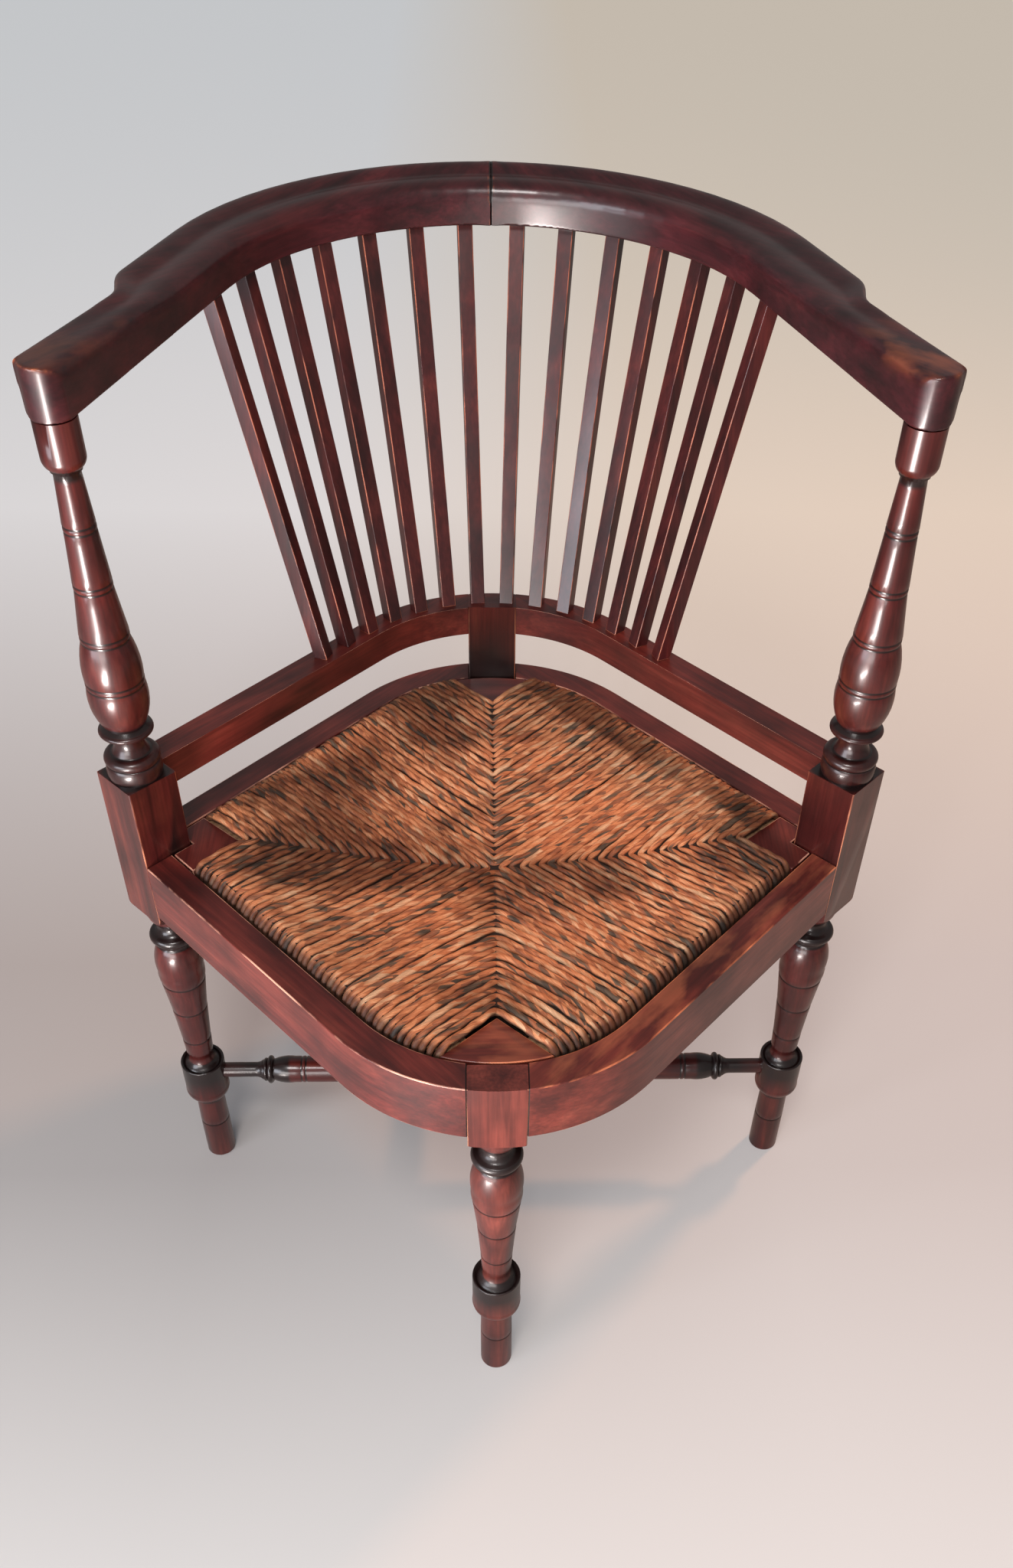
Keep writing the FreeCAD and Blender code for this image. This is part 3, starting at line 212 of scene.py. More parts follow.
def twisted_rush():
    """Dried rush leaves twisted into a cord by hand: fibres run along the cord, and its colour goes
    from straw to tan, brown and grey-green from one leaf to the next."""
    material, shader = blank_material("twisted_rush", IOR=1.45, Roughness=0.62)
    tone = add(material, "ShaderNodeAttribute", attribute_name="tone").outputs["Fac"]
    chart = add(material, "ShaderNodeUVMap", uv_map="cord").outputs["UV"]
    # One metre of chart is one metre of cord; a turn of leaf is about 15 mm long and 3 mm wide, and a
    # fibre 0.6 mm.
    leaf_place = add(material, "ShaderNodeMapping", {"Vector": chart}, Scale=(1.0, 4.5, 1.0))
    turns = add(material, "ShaderNodeTexVoronoi", {"Vector": leaf_place.outputs["Vector"]}, Scale=68.0)
    turn_tone = add(material, "ShaderNodeSeparateColor", {"Color": turns.outputs["Color"]}).outputs[0]
    leaves = add(material, "ShaderNodeTexNoise", {"Vector": leaf_place.outputs["Vector"]},
                 Scale=20.0, Detail=2.0, Roughness=0.6).outputs["Fac"]
    fibre_place = add(material, "ShaderNodeMapping", {"Vector": chart}, Scale=(1.0, 14.0, 1.0))
    fibres = add(material, "ShaderNodeTexNoise", {"Vector": fibre_place.outputs["Vector"]},
                 Scale=110.0, Detail=4.0, Roughness=0.65).outputs["Fac"]
    shade = reckoned(material, "ADD", tone, spread(material, leaves, 0.36, 0.64, -0.2, 0.18))
    shade = reckoned(material, "ADD", shade, spread(material, turn_tone, 0.0, 1.0, -0.3, 0.3))
    colour = ramp(material, shade, (
        (0.0, "5C4C40"), (0.17, "806854"), (0.32, "BA7250"), (0.48, "E68E5E"), (0.72, "FFAC78"),
        (1.0, "FFCA9E"),
    ))
    fine = ramp(material, spread(material, fibres, 0.3, 0.7), ((0.0, "8A7F78"), (1.0, "FFFFFF")))
    colour = blended(material, 0.8, colour, fine, "MULTIPLY")
    # Dust lies in patches about 100 mm across. Painted shadow darkens the whole left rear quarter, which is
    # where X is smallest and Y greatest, the seams from side to side, and a strip under the right middle
    # rail;
    # the rush is darker round the middle of the seat too, and painted shade darkens it where strands go down
    # over the rails.
    place = add(material, "ShaderNodeTexCoord").outputs["Object"]
    x, y, _ = add(material, "ShaderNodeSeparateXYZ", {"Vector": place}).outputs
    patches = add(material, "ShaderNodeTexNoise", {"Vector": place}, Scale=10.0, Detail=4.0,
                  Roughness=0.6).outputs["Fac"]
    left_rear = reckoned(material, "SUBTRACT", y, x)
    from_seam = reckoned(material, "ABSOLUTE", reckoned(material, "SUBTRACT", y, DARKENED_CENTRE[1]))
    from_middle = add(material, "ShaderNodeVectorMath", {"i0": place}, i1=DARKENED_CENTRE,
                      operation="DISTANCE").outputs["Value"]
    outward = add(material, "ShaderNodeVectorMath", {"i0": place}, i1=(*OUT, 0.0),
                  operation="DOT_PRODUCT").outputs["Value"]
    shaded_edge = float(EDGE_RADIUS * MM + OUT[1] * (POST_LINE + BOW_Y * MM)) - SHADED_STRIP
    dust_and_shade = patches
    for reach, ranges in ((left_rear, (-0.1, 0.3, -0.12, 0.14)), (from_seam, (0.01, 0.07, 0.15, 0.0)),
                          (from_middle, (0.02, 0.13, 0.1, 0.0)),
                          (outward, (shaded_edge, shaded_edge + 0.01, 0.0, 0.22))):
        dust_and_shade = reckoned(material, "ADD", spread(material, reach, *ranges), dust_and_shade)
    rolled = add(material, "ShaderNodeAttribute", attribute_name="rolled").outputs["Fac"]
    dust_and_shade = reckoned(material, "MAXIMUM", spread(material, dust_and_shade, 0.46, 0.64, 0.0, 0.85),
                     spread(material, rolled, 0.03, 0.22, 0.0, 0.9))
    # 7E6E64 is multiplied in for dust, and for painted shadow and painted shade.
    colour = blended(material, dust_and_shade, colour, paint("7E6E64"), "MULTIPLY")
    # Painted shade: each cord darkens towards its flanks and underside, where it meets its neighbours, and
    # goes near black where strands go down over the rails and underneath.
    flank = add(material, "ShaderNodeAttribute", attribute_name="flank").outputs["Fac"]
    flank_shade = reckoned(material, "MULTIPLY", spread(material, flank, 0.2, 0.48, 0.0, 0.88),
                    spread(material, rolled, 0.05, 0.3, 1.0, 0.5))
    shaded = reckoned(material, "MAXIMUM", flank_shade, spread(material, rolled, 0.15, 0.42, 0.0, 0.8))
    colour = blended(material, shaded, colour, paint("1C120C"))
    material.node_tree.links.new(colour, shader.inputs["Base Color"])
    ridges = add(material, "ShaderNodeBump", {"Height": fibres}, Strength=0.5, Distance=0.3 * MM)
    material.node_tree.links.new(ridges.outputs["Normal"], shader.inputs["Normal"])
    return material


# ---- meshes --------------------------------------------------------------------------------------


def new_piece(name, mesh, material, body):
    """New object that rides on a body and has a material."""
    piece = bpy.data.objects.new(name, mesh)
    bpy.context.scene.collection.objects.link(piece)
    mesh.materials.append(material)
    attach(piece, body)
    return piece


def grain_chart(mesh, way, seed):
    """Stores each vertex in the board's own axes: along the grain, across it, and through it, moved by
    a random offset so that no two boards share a figure."""
    points = np.empty(len(mesh.vertices) * 3, np.float32)
    mesh.vertices.foreach_get("co", points)
    along = Vector(way).normalized()
    helper = Vector((0, 0, 1)) if abs(along.z) < 0.9 else Vector((1, 0, 0))
    across = along.cross(helper).normalized()
    axes = np.array([along, across, along.cross(across)]).T
    offset = np.random.default_rng(seed).uniform(-5, 5, 3)
    chart = points.reshape(-1, 3) @ axes + offset
    mesh.attributes.new("grain", "FLOAT_VECTOR", "POINT").data.foreach_set(
        "vector", chart.astype(np.float32).ravel())


def whole_solid(node, flats=True):
    """Copy of a node's solid to work on, with its doubles merged and, with `flats`, its flat faces made
    whole."""
    solid = bmesh.new()
    solid.from_mesh(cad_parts[node].data)
    bmesh.ops.remove_doubles(solid, verts=solid.verts, dist=1e-6)
    if flats:
        bmesh.ops.dissolve_limit(solid, angle_limit=math.radians(0.2), verts=solid.verts,
                                 edges=solid.edges)
    bmesh.ops.recalc_face_normals(solid, faces=solid.faces)
    return solid


def mesh_of(solid, name):
    """Mesh made from a solid that has been worked on, which is then let go."""
    mesh = bpy.data.meshes.new(name)
    solid.to_mesh(mesh)
    solid.free()
    return mesh


def near_joint(point):
    """Whether a point lies where a rail meets a post's block."""
    x, y = abs(point.x), point.y - POST_LINE
    at_side_post = abs(x - SIDE_POST_X) + abs(y) < SIDE_BLOCK_REACH
    return at_side_post or (x < LEG_BLOCK_REACH and abs(y) > LEG_LINE)


def store_stain(mesh, bands, rubbed=None):
    """Stores "stained" at each vertex: how hollow the surface is there, which is the mean over the
    vertex's edges of the edge's way along the vertex's normal, and more inside `bands`. With `rubbed`
    it stores "worn" too: where the surface bulges as much, though not underneath, and on its top
    forward of Y = `rubbed`, most on the right."""
    count = len(mesh.vertices)
    points, normals = np.empty((2, count * 3), np.float32)
    mesh.vertices.foreach_get("co", points)
    mesh.vertices.foreach_get("normal", normals)
    points, normals = points.reshape(-1, 3), normals.reshape(-1, 3)
    ends = np.empty(len(mesh.edges) * 2, np.int32)
    mesh.edges.foreach_get("vertices", ends)
    first, second = ends.reshape(-1, 2).T
    way = points[second] - points[first]
    way /= np.maximum(np.linalg.norm(way, axis=1), 1e-9)[:, None]
    rise = np.bincount(first, (way * normals[first]).sum(1), count)
    rise -= np.bincount(second, (way * normals[second]).sum(1), count)
    hollow = rise / np.maximum(np.bincount(ends, minlength=count), 1)
    stain = np.clip((hollow - 0.05) / 0.12, 0, 1)
    for axis, low, high, amount in bands:
        place = np.abs(points[:, axis]) / MM
        stain = np.maximum(stain, amount * ((place > low) & (place < high)))
    mesh.attributes.new("stained", "FLOAT", "POINT").data.foreach_set("value", stain.astype(np.float32))
    if rubbed is not None:
        worn_and_lit = np.clip((-hollow - 0.05) / 0.1, 0, 1) * np.clip(0.6 + normals[:, 2] * 2, 0, 1)
        forward = np.clip((rubbed - points[:, 1]) / 0.1, 0, np.where(points[:, 0] > 0, 0.4, 0.16))
        worn_and_lit = np.maximum(worn_and_lit, forward * np.clip(normals[:, 2] * 2, 0, 1))
        worn_and_lit *= 1 - stain
        mesh.attributes.new("worn_and_lit", "FLOAT", "POINT").data.foreach_set("value", worn_and_lit.astype(np.float32))


def eased_copy(node, material, body, way, seed, radius, bands=None, jointed=False, top=0.0):
    """Copy of a node's solid with its doubles merged, its flat faces made whole, and its sharp outer
    edges rounded to `radius` metres; a turned piece, which has `bands` to stain, has only its upright
    edges rounded. The rounded faces carry the attribute of rubbed-through wood, or "stained" where pieces
    meet, and the level ones on top get `top` of that paler wood, which is painted light."""
    solid = whole_solid(node)
    worn_and_lit = solid.faces.layers.float.new("worn_and_lit")
    stained = solid.faces.layers.float.new("stained") if bands is None else None
    sharp = []
    for edge in solid.edges:
        if not edge.is_manifold or not edge.is_convex or edge.calc_face_angle(0) < SHARP:
            continue
        run = edge.verts[1].co - edge.verts[0].co
        if bands is None or (run.length > 8 * MM and abs(run.z) > 0.9 * run.length):
            sharp.append(edge)
    made = bmesh.ops.bevel(solid, geom=sharp, offset=radius, offset_type="OFFSET", segments=2,
                           profile=0.5, affect="EDGES", clamp_overlap=bands is None)
    for face in made["faces"]:
        joint = jointed and near_joint(face.calc_center_median())
        face[worn_and_lit] = 0.0 if joint else 1.0
        if joint:
            face[stained] = 1.0
    # Painted light: level top faces are made paler by `top`.
    if top:
        for face in solid.faces:
            if face.normal.z > 0.9:
                face[worn_and_lit] = max(face[worn_and_lit], top)
    mesh = mesh_of(solid, f"{node}_eased")
    if bands is not None:
        store_stain(mesh, bands)
    mesh.shade_smooth()
    mesh.set_sharp_from_angle(angle=CREASE)
    grain_chart(mesh, way, seed)
    piece = new_piece(f"{node}_eased", mesh, material, body)
    weighted = piece.modifiers.new("face_weighted_normals", "WEIGHTED_NORMAL")
    weighted.keep_sharp = True
    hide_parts(node)
    return piece


def evened(values, edges, rounds, weight):
    """Values at the vertices, each drawn `rounds` times towards the mean of its neighbours by half of
    `weight`."""
    first, second = edges.T
    count = len(values)
    shared = np.maximum(np.bincount(edges.ravel(), minlength=count), 1)
    for _ in range(rounds):
        sums = [np.bincount(first, column[second], count) + np.bincount(second, column[first], count)
                for column in values.T]
        mean = np.stack([total / shared for total in sums], -1)
        values = values + (mean - values) * 0.5 * weight[:, None]
    return values


def softened_copy(node, material, body, way, seed, cell, rounds, bands):
    """Copy of a node's solid rebuilt in cells of `cell` metres and evened `rounds` times, so that its
    arrises are as soft as those shaped by hand, but not where X is 0 and it meets its twin. Its shading
    comes from the solid's own faces, evened too."""
    rough = mesh_of(whole_solid(node), f"{node}_rough")
    rough.shade_smooth()
    rough.set_sharp_from_angle(angle=CREASE)

    def made(mesh, kind, **settings):
        """The mesh of a new object with one modifier."""
        holder = bpy.data.objects.new(mesh.name, mesh)
        bpy.context.scene.collection.objects.link(holder)
        modifier = holder.modifiers.new(kind, kind)
        for name, value in settings.items():
            setattr(modifier, name, value)
        return holder, bpy.data.meshes.new_from_object(
            holder.evaluated_get(bpy.context.evaluated_depsgraph_get()))

    cells, mesh = made(rough, "REMESH", mode="VOXEL", voxel_size=cell)
    source, shaded = made(rough, "WEIGHTED_NORMAL", keep_sharp=True)
    count = len(mesh.vertices)
    points = np.empty(count * 3, np.float32)
    mesh.vertices.foreach_get("co", points)
    points = points.reshape(-1, 3)
    edges = np.empty(len(mesh.edges) * 2, np.int32)
    mesh.edges.foreach_get("vertices", edges)
    edges = edges.reshape(-1, 2)
    weight = np.clip((np.abs(points[:, 0]) / MM - 1.5) / 8, 0, 1)
    mesh.vertices.foreach_set("co", evened(points, edges, rounds, weight).astype(np.float32).ravel())
    mesh.update()
    mesh.shade_smooth()
    target, lit = made(mesh, "DATA_TRANSFER", object=source, use_loop_data=True,
                       data_types_loops={"CUSTOM_NORMAL"}, loop_mapping="POLYINTERP_NEAREST")
    normals = np.empty(len(lit.loops) * 3, np.float32)
    lit.corner_normals.foreach_get("vector", normals)
    owner = np.empty(len(lit.loops), np.int32)
    lit.loops.foreach_get("vertex_index", owner)
    normals = np.stack([np.bincount(owner, column, count) for column in normals.reshape(-1, 3).T], -1)
    normals = evened(normals, edges, rounds // 3, weight)
    normals /= np.maximum(np.linalg.norm(normals, axis=1), 1e-9)[:, None]
    for holder in (cells, source, target):
        bpy.data.objects.remove(holder)
    for spent in (rough, shaded, lit):
        bpy.data.meshes.remove(spent)
    store_stain(mesh, bands, rubbed=ARM_START)
    mesh.normals_split_custom_set_from_vertices(normals.astype(np.float32))
    grain_chart(mesh, way, seed)
    piece = new_piece(f"{node}_softened", mesh, material, body)
    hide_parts(node)
    return piece


def closed_grid(rows):
    """Points of a grid points[row, column] that closes on itself both ways, and the quads on them."""
    count_u, count_v = rows.shape[:2]
    index = np.arange(count_u * count_v).reshape(count_u, count_v)
    here_u, here_v = np.meshgrid(np.arange(count_u), np.arange(count_v), indexing="ij")
    next_u, next_v = (here_u + 1) % count_u, (here_v + 1) % count_v
    quads = np.stack([index[here_u, here_v], index[next_u, here_v], index[next_u, next_v],
                      index[here_u, next_v]], axis=-1).reshape(-1, 4)
    return rows.reshape(-1, 3), quads


def mesh_from(name, points, quads):
    """Smooth mesh with those points and quads."""
    mesh = bpy.data.meshes.new(name)
    mesh.vertices.add(len(points))
    mesh.vertices.foreach_set("co", np.asarray(points, np.float32).ravel())
    mesh.loops.add(quads.size)
    mesh.loops.foreach_set("vertex_index", np.asarray(quads, np.int32).ravel())
    mesh.polygons.add(len(quads))
    mesh.polygons.foreach_set("loop_start", np.arange(0, quads.size, 4, dtype=np.int32))
    mesh.update(calc_edges=True)
    mesh.validate()
    mesh.shade_smooth()
    return mesh


# ---- the rush ------------------------------------------------------------------------------------

# Plan of the drop-in seat in millimetres from the middle of the side post line.
BOW_Y = 110.25
EDGE_RADIUS = 133.5
# The ways along a rail and square to it, outwards, in the right rear quarter.
ALONG = np.array([-0.67081, 0.74163])
OUT = np.array([0.74163, 0.67081])
WEAVE_CENTRE = np.array([0.0, -20.0])
STRAND_RADIUS = 2.95
STRAND_STEP = 2.5  # millimetres from one ring of a strand to the next
ROLL_STEPS, ROLL_REACH = 12, 9.0  # rings of a strand over a rail's edge, and how far out it bulges there
RUSH_TOP, RUSH_UNDER = 427.0, 400.0
DISH_RADIUS, DISH_SAG = 200.0, 16.0
TWIST_PITCH = 20.0  # millimetres from one lobe of a strand's twist to the next
LEAF_SLANT = 0.3  # how far the leaves' colours go round a strand for each unit along it
STUFFING_DEPTH, STUFFING_SHARE = 3.2 * MM, 0.972  # how far inside the rush the stuffing lies
DARKENED_CENTRE = (0.0, POST_LINE - 0.03, 0.43)  # where the rush is darkened most, on the seams and round the middle, in metres
SHADED_STRIP = 0.042  # how far in from the outline the painted shadow of the right middle rail reaches
SEAM_TURN, SEAM_DIP = 2.6, 2.0  # rounding of a strand's turn on the seam, and how far it dives there
CORNERS = {
    # corner: (inner corner of its block, strands, bow of the strands over each of its two rails)
    "left": ((-211.0, 0.0), 25, (5.0, 2.5)),
    "right": ((211.0, 0.0), 25, (5.0, 2.5)),
    "front": ((0.0, -199.0), 22, (4.5, 4.5)),
    "rear": ((0.0, 199.0), 28, (1.0, 1.0)),
}


def edge_distance(points, side, end):
    """Distance from each point, square to the rail of that quarter, out to the outline of the rush:
    the radius less the distance from the bow's centre, measured straight where the rail is straight."""
    local = points * np.array([side, end]) - np.array([0.0, BOW_Y])
    run, across = local @ ALONG, local @ OUT
    bowed = np.sqrt(np.maximum(EDGE_RADIUS ** 2 - np.maximum(run, 0.0) ** 2, 1.0))
    return np.where(run > 0, bowed, EDGE_RADIUS) - across


def strand_path(seam, block, bows, first, second, radius, wobble):
    """Centre line of one strand, as points a step apart on a closed loop: in from one rail's edge to
    the seam, where it dives, round to the other rail, down over its edge, back underneath, and up over
    the first. On top it bows away from its corner block by bow * sin(pi * share of the way). Also gives
    the strand's level heading, and how far it has gone down over a rail, from 0 to 1."""
    inward = (WEAVE_CENTRE - block) / np.linalg.norm(WEAVE_CENTRE - block)
    normals = [OUT * np.array(quarter) for quarter in (first, second)]
    across, upright = ROLL_REACH, (RUSH_TOP - RUSH_UNDER) / 2 - radius
    middle = (RUSH_TOP + RUSH_UNDER) / 2
    flats = [edge_distance(seam[None], *quarter)[0] - radius - across for quarter in (first, second)]
    turn = min(SEAM_TURN, min(flats) * 0.9)

    def leg(number, outwards, bowed=True):
        """Points from the seam out to the edge, or back."""
        normal, flat = normals[number], flats[number]
        sideways = inward - normal * (inward @ normal)
        sideways /= np.linalg.norm(sideways)
        share = np.linspace(0, 1, max(int((flat - turn) / STRAND_STEP), 2), endpoint=False)[:, None]
        share = share if outwards else 1 - share
        bow = bows[number] * (flat / 150) * bowed
        return seam + normal * (turn + (flat - turn) * share) + sideways * bow * np.sin(math.pi * share)

    def corner(before, after):
        """Points round the turn on the seam."""
        share = np.linspace(0, 1, 5, endpoint=False)[:, None]
        return ((1 - share) ** 2 * (seam + before * turn) + share ** 2 * (seam + after * turn)
                + 2 * share * (1 - share) * (seam + (before + after) * turn * 0.12))

    def roll(number, down):
        """Points over the edge of a rail, down it or up it."""
        angle = np.linspace(0, math.pi, ROLL_STEPS, endpoint=False)
        if not down:
            angle = math.pi - angle
        plan = seam + normals[number] * (flats[number] + across * np.sin(angle))[:, None]
        return np.column_stack([plan, middle + upright * np.cos(angle)])

    top = np.concatenate([leg(0, False), corner(*normals), leg(1, True)])
    under = np.concatenate([leg(1, False, False), corner(*normals[::-1]), leg(0, True, False)])
    distance = np.hypot(top[:, 0], top[:, 1])
    height = RUSH_TOP - radius - DISH_SAG * np.maximum(0.0, 1 - (distance / DISH_RADIUS) ** 2)
    near = np.hypot(*(top - seam).T)
    height -= SEAM_DIP * np.exp(-(near / 4.5) ** 2)
    rolls = (roll(1, True), roll(0, False))
    path = np.concatenate([
        np.column_stack([top, height]), rolls[0],
        np.column_stack([under, np.full(len(under), RUSH_UNDER + radius)]), rolls[1],
    ])
    heading = np.concatenate([
        np.gradient(top, axis=0), np.tile(normals[1], (len(rolls[0]), 1)),
        -np.gradient(under, axis=0), np.tile(-normals[0], (len(rolls[1]), 1)),
    ])
    share = np.linspace(0, 2 * math.pi, len(path), endpoint=False)
    for order in (2, 3, 5, 8, 13, 21):
        drift = wobble.normal(0, 1, 3) * 0.5 / math.sqrt(order)
        path += drift * np.sin(share[:, None] * order + wobble.uniform(0, 6.28, 3))
    share = np.linspace(0, 1, ROLL_STEPS, endpoint=False)
    rolled = np.concatenate([np.zeros(len(top)), share, np.ones(len(under)), 1 - share])
    return path, heading, rolled


def cord(path, heading, radius, wobble, sides=10):
    """Closed twisted cord round a path: the ring point at angle a stands off the path, square to it, by
    radius * (1 + lobe * cos(2 a - twist * length)) * (1 + swell * sin(length)). Also gives the length
    along the path, and how far each point is round from the cord's top, from 0 to 1."""
    ahead = np.roll(path, -1, 0) - np.roll(path, 1, 0)
    way = ahead / np.linalg.norm(ahead, axis=1)[:, None]
    step = np.linalg.norm(np.roll(path, -1, 0) - path, axis=1)
    length = np.concatenate([[0.0], np.cumsum(step)[:-1]])
    whole = step.sum()
    # The level direction across the cord; it stays the same where the cord rolls over a rail.
    across = np.column_stack([heading[:, 1], -heading[:, 0], np.zeros(len(way))])
    across -= way * (across * way).sum(1)[:, None]
    across /= np.linalg.norm(across, axis=1)[:, None]
    up = np.cross(across, way)
    # The first side is underneath, so that the chart's own seam isn't seen.
    angle = (np.arange(sides) / sides - 0.25) * 2 * math.pi
    # A whole number of twists and of swellings, so that the cord closes on itself.
    turns = 2 * math.pi * round(whole / TWIST_PITCH)
    phase = wobble.uniform(0, 6.28)
    lobes = 1 + 0.09 * np.cos(2 * angle[None] - turns * length[:, None] / whole + phase)
    swellings = 2 * math.pi * round(whole / 140.0)
    swell = 1 + 0.06 * np.sin(swellings * length / whole + phase)[:, None]
    reach = radius * lobes * swell
    rings = (path[:, None] + across[:, None] * (reach * np.cos(angle))[..., None]
             + up[:, None] * (reach * np.sin(angle))[..., None])
    flank = np.broadcast_to(0.5 - 0.5 * np.sin(angle), reach.shape)
    return rings, length, flank


def woven_corner(name, block, strands, bows, material, seed):
    """All the strands that turn on the seam from one corner block to the middle of the seat."""
    wobble = np.random.default_rng(seed)
    block = np.array(block)
    if block[0]:
        side = 1 if block[0] > 0 else -1
        first, second = (side, 1), (side, -1)
    else:
        end = 1 if block[1] > 0 else -1
        first, second = (1, end), (-1, end)
    points, quads, chart, start = [], [], [], 0
    stored = {"tone": [], "flank": [], "rolled": []}
    for number in range(strands):
        share = (number + 0.5) / strands
        seam = block + (WEAVE_CENTRE - block) * share
        radius = STRAND_RADIUS + wobble.uniform(-0.2, 0.2)
        bowed = [bow * 4 * share * (1 - share) for bow in bows]
        path, heading, rolled = strand_path(seam, block, bowed, first, second, radius, wobble)
        path[:, 1] += POST_LINE / MM
        rings, length, flank = cord(path, heading, radius, wobble)
        ring_points, ring_quads = closed_grid(rings)
        points.append(ring_points)
        quads.append(ring_quads + start)
        start += len(ring_points)
        rows, columns = rings.shape[:2]
        shift = wobble.uniform(0, 40)
        # Each face takes one patch of the chart: length along the cord, and angle round it.
        u = np.concatenate([length, [length[-1] + STRAND_STEP]]) * MM + shift
        v = np.arange(columns + 1) / columns * 2 * math.pi * radius * MM + number * 3.1
        row, column = np.meshgrid(np.arange(rows), np.arange(columns), indexing="ij")
        corners = ((row, column), (row + 1, column), (row + 1, column + 1), (row, column + 1))
        patch = np.stack([
            np.stack([u[at], v[round_it] + LEAF_SLANT * u[at]], -1) for at, round_it in corners
        ], axis=2).reshape(-1, 2)
        chart.append(patch)
        tone = 0.53 + 0.11 * (-1) ** number + wobble.normal(0, 0.07)
        stored["tone"].append(np.full(len(ring_points), tone))
        stored["flank"].append(flank.ravel())
        stored["rolled"].append(np.repeat(rolled, columns))
    mesh = mesh_from(name, np.concatenate(points) * MM, np.concatenate(quads))
    mesh.uv_layers.new(name="cord").data.foreach_set("uv", np.concatenate(chart).astype(np.float32).ravel())
    for label, values in stored.items():
        mesh.attributes.new(label, "FLOAT", "POINT").data.foreach_set(
            "value", np.concatenate(values).astype(np.float32))
    piece = new_piece(name, mesh, material, "seat")
    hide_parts("rush_seat")
    return piece


def stuffing(material):
    """Rush packed inside the seat, coloured near black as painted shade: the outline of the rush drawn in,
    seen between the strands.
    """
    mesh = mesh_of(whole_solid("rush_seat", flats=False), "shaded_rush_stuffing")
    points, normals = np.empty((2, len(mesh.vertices) * 3), np.float32)
    mesh.vertices.foreach_get("co", points)
    mesh.vertices.foreach_get("normal", normals)
    points = (points - normals * STUFFING_DEPTH).reshape(-1, 3)
    middle = np.array([0.0, POST_LINE])
    points[:, :2] = middle + (points[:, :2] - middle) * STUFFING_SHARE
    mesh.vertices.foreach_set("co", points.ravel())
    mesh.update()
    piece = new_piece("shaded_rush_stuffing", mesh, material, "seat")
    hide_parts("rush_seat")


# ---- settings ------------------------------------------------------------------------------------


class ChairWoodSettings(bpy.types.PropertyGroup):
    edge_radius: FloatProperty(name="Edge radius", description="Rounding of the rails' and blocks' arrises",
                               default=1.0 * MM, unit="LENGTH")
    spindle_edge: FloatProperty(name="Spindle edge", description="Rounding of the spindles' arrises",
                                default=0.7 * MM, unit="LENGTH")


class ChairRushSettings(bpy.types.PropertyGroup):
    seed: IntProperty(name="Seed", description="Varies how the strands lie and their colours", default=11)


class ChairStageSettings(bpy.types.PropertyGroup):
    floor_colour: FloatVectorProperty(name="Floor colour", description="Colour of the floor and backdrop",
                                      subtype="COLOR", size=4, default=paint("B3AEAB"))
    window_power: FloatProperty(name="Window", description="Power of the window light", default=60.0)


# ---- operators -----------------------------------------------------------------------------------

WOODS = {}
# kind: (material, its deep, middle and light stain, the wood where it is rubbed through, which also paints
# light on lit tops, roughness)
WOOD_STAINS = {
    "crest": ("dark_mahogany", "260D12", "46181E", "5E2427", "A05838", 0.3),
    "rail": ("shellacked_mahogany", "481816", "722A24", "904034", "DCA088", 0.38),
    "spindle": ("spindle_mahogany", "321214", "521E1E", "6C2C26", "A86048", 0.3),
    # A paler copy of the rail wood, which paints light on the pieces that stand in it.
    "lit_copy": ("lit_rail_mahogany", "561E1A", "86382D", "A4503F", "DC8058", 0.38),
    "turned": ("turned_mahogany", "36100F", "5A201D", "7C362A", "C07A5C", 0.28),
    # A paler copy for the front leg, which faces the front lamps: painted light.
    "front_leg": ("lit_front_mahogany", "501C1A", "823A30", "A85244", "D09070", 0.36),
}


def wood(kind):
    """The chair's woods, each made once: "sawn", or one of the stained ones."""
    if kind not in WOODS:
        WOODS[kind] = sawn_hardwood() if kind == "sawn" else shellacked_wood(*WOOD_STAINS[kind])
    return WOODS[kind]


def rail_way(side, end):
    """Level way along the straight part of the rail in that quarter."""
    return (ALONG[0] * side, ALONG[1] * end, 0)


class ChairRails(bpy.types.Operator):
    """Finishes the bowed seat rails and middle rails"""

    bl_idname = "chair.rails"
    bl_label = "Rails"

    def execute(self, context):
        radius = context.scene.chair_wood.edge_radius
        for number, (side_name, side) in enumerate(SIDES.items()):
            for end_name, end in ENDS.items():
                # The rail to the right of the front leg takes a paler copy of the rail wood, paler still on
                # its top: painted light, where the warm light from the right falls.
                lit_copy = end_name == "front" and side_name == "right"
                eased_copy(f"seat_rail_{end_name}_{side_name}", wood("lit_copy" if lit_copy else "rail"),
                           "frame", rail_way(side, end), 10 + number * 2 + end, radius,
                           jointed=True, top=0.26 if lit_copy else 0.0)
            eased_copy(f"mid_rail_{side_name}", wood("rail"), "frame",
                       rail_way(side, 1), 20 + number, radius, jointed=True)
        return {"FINISHED"}


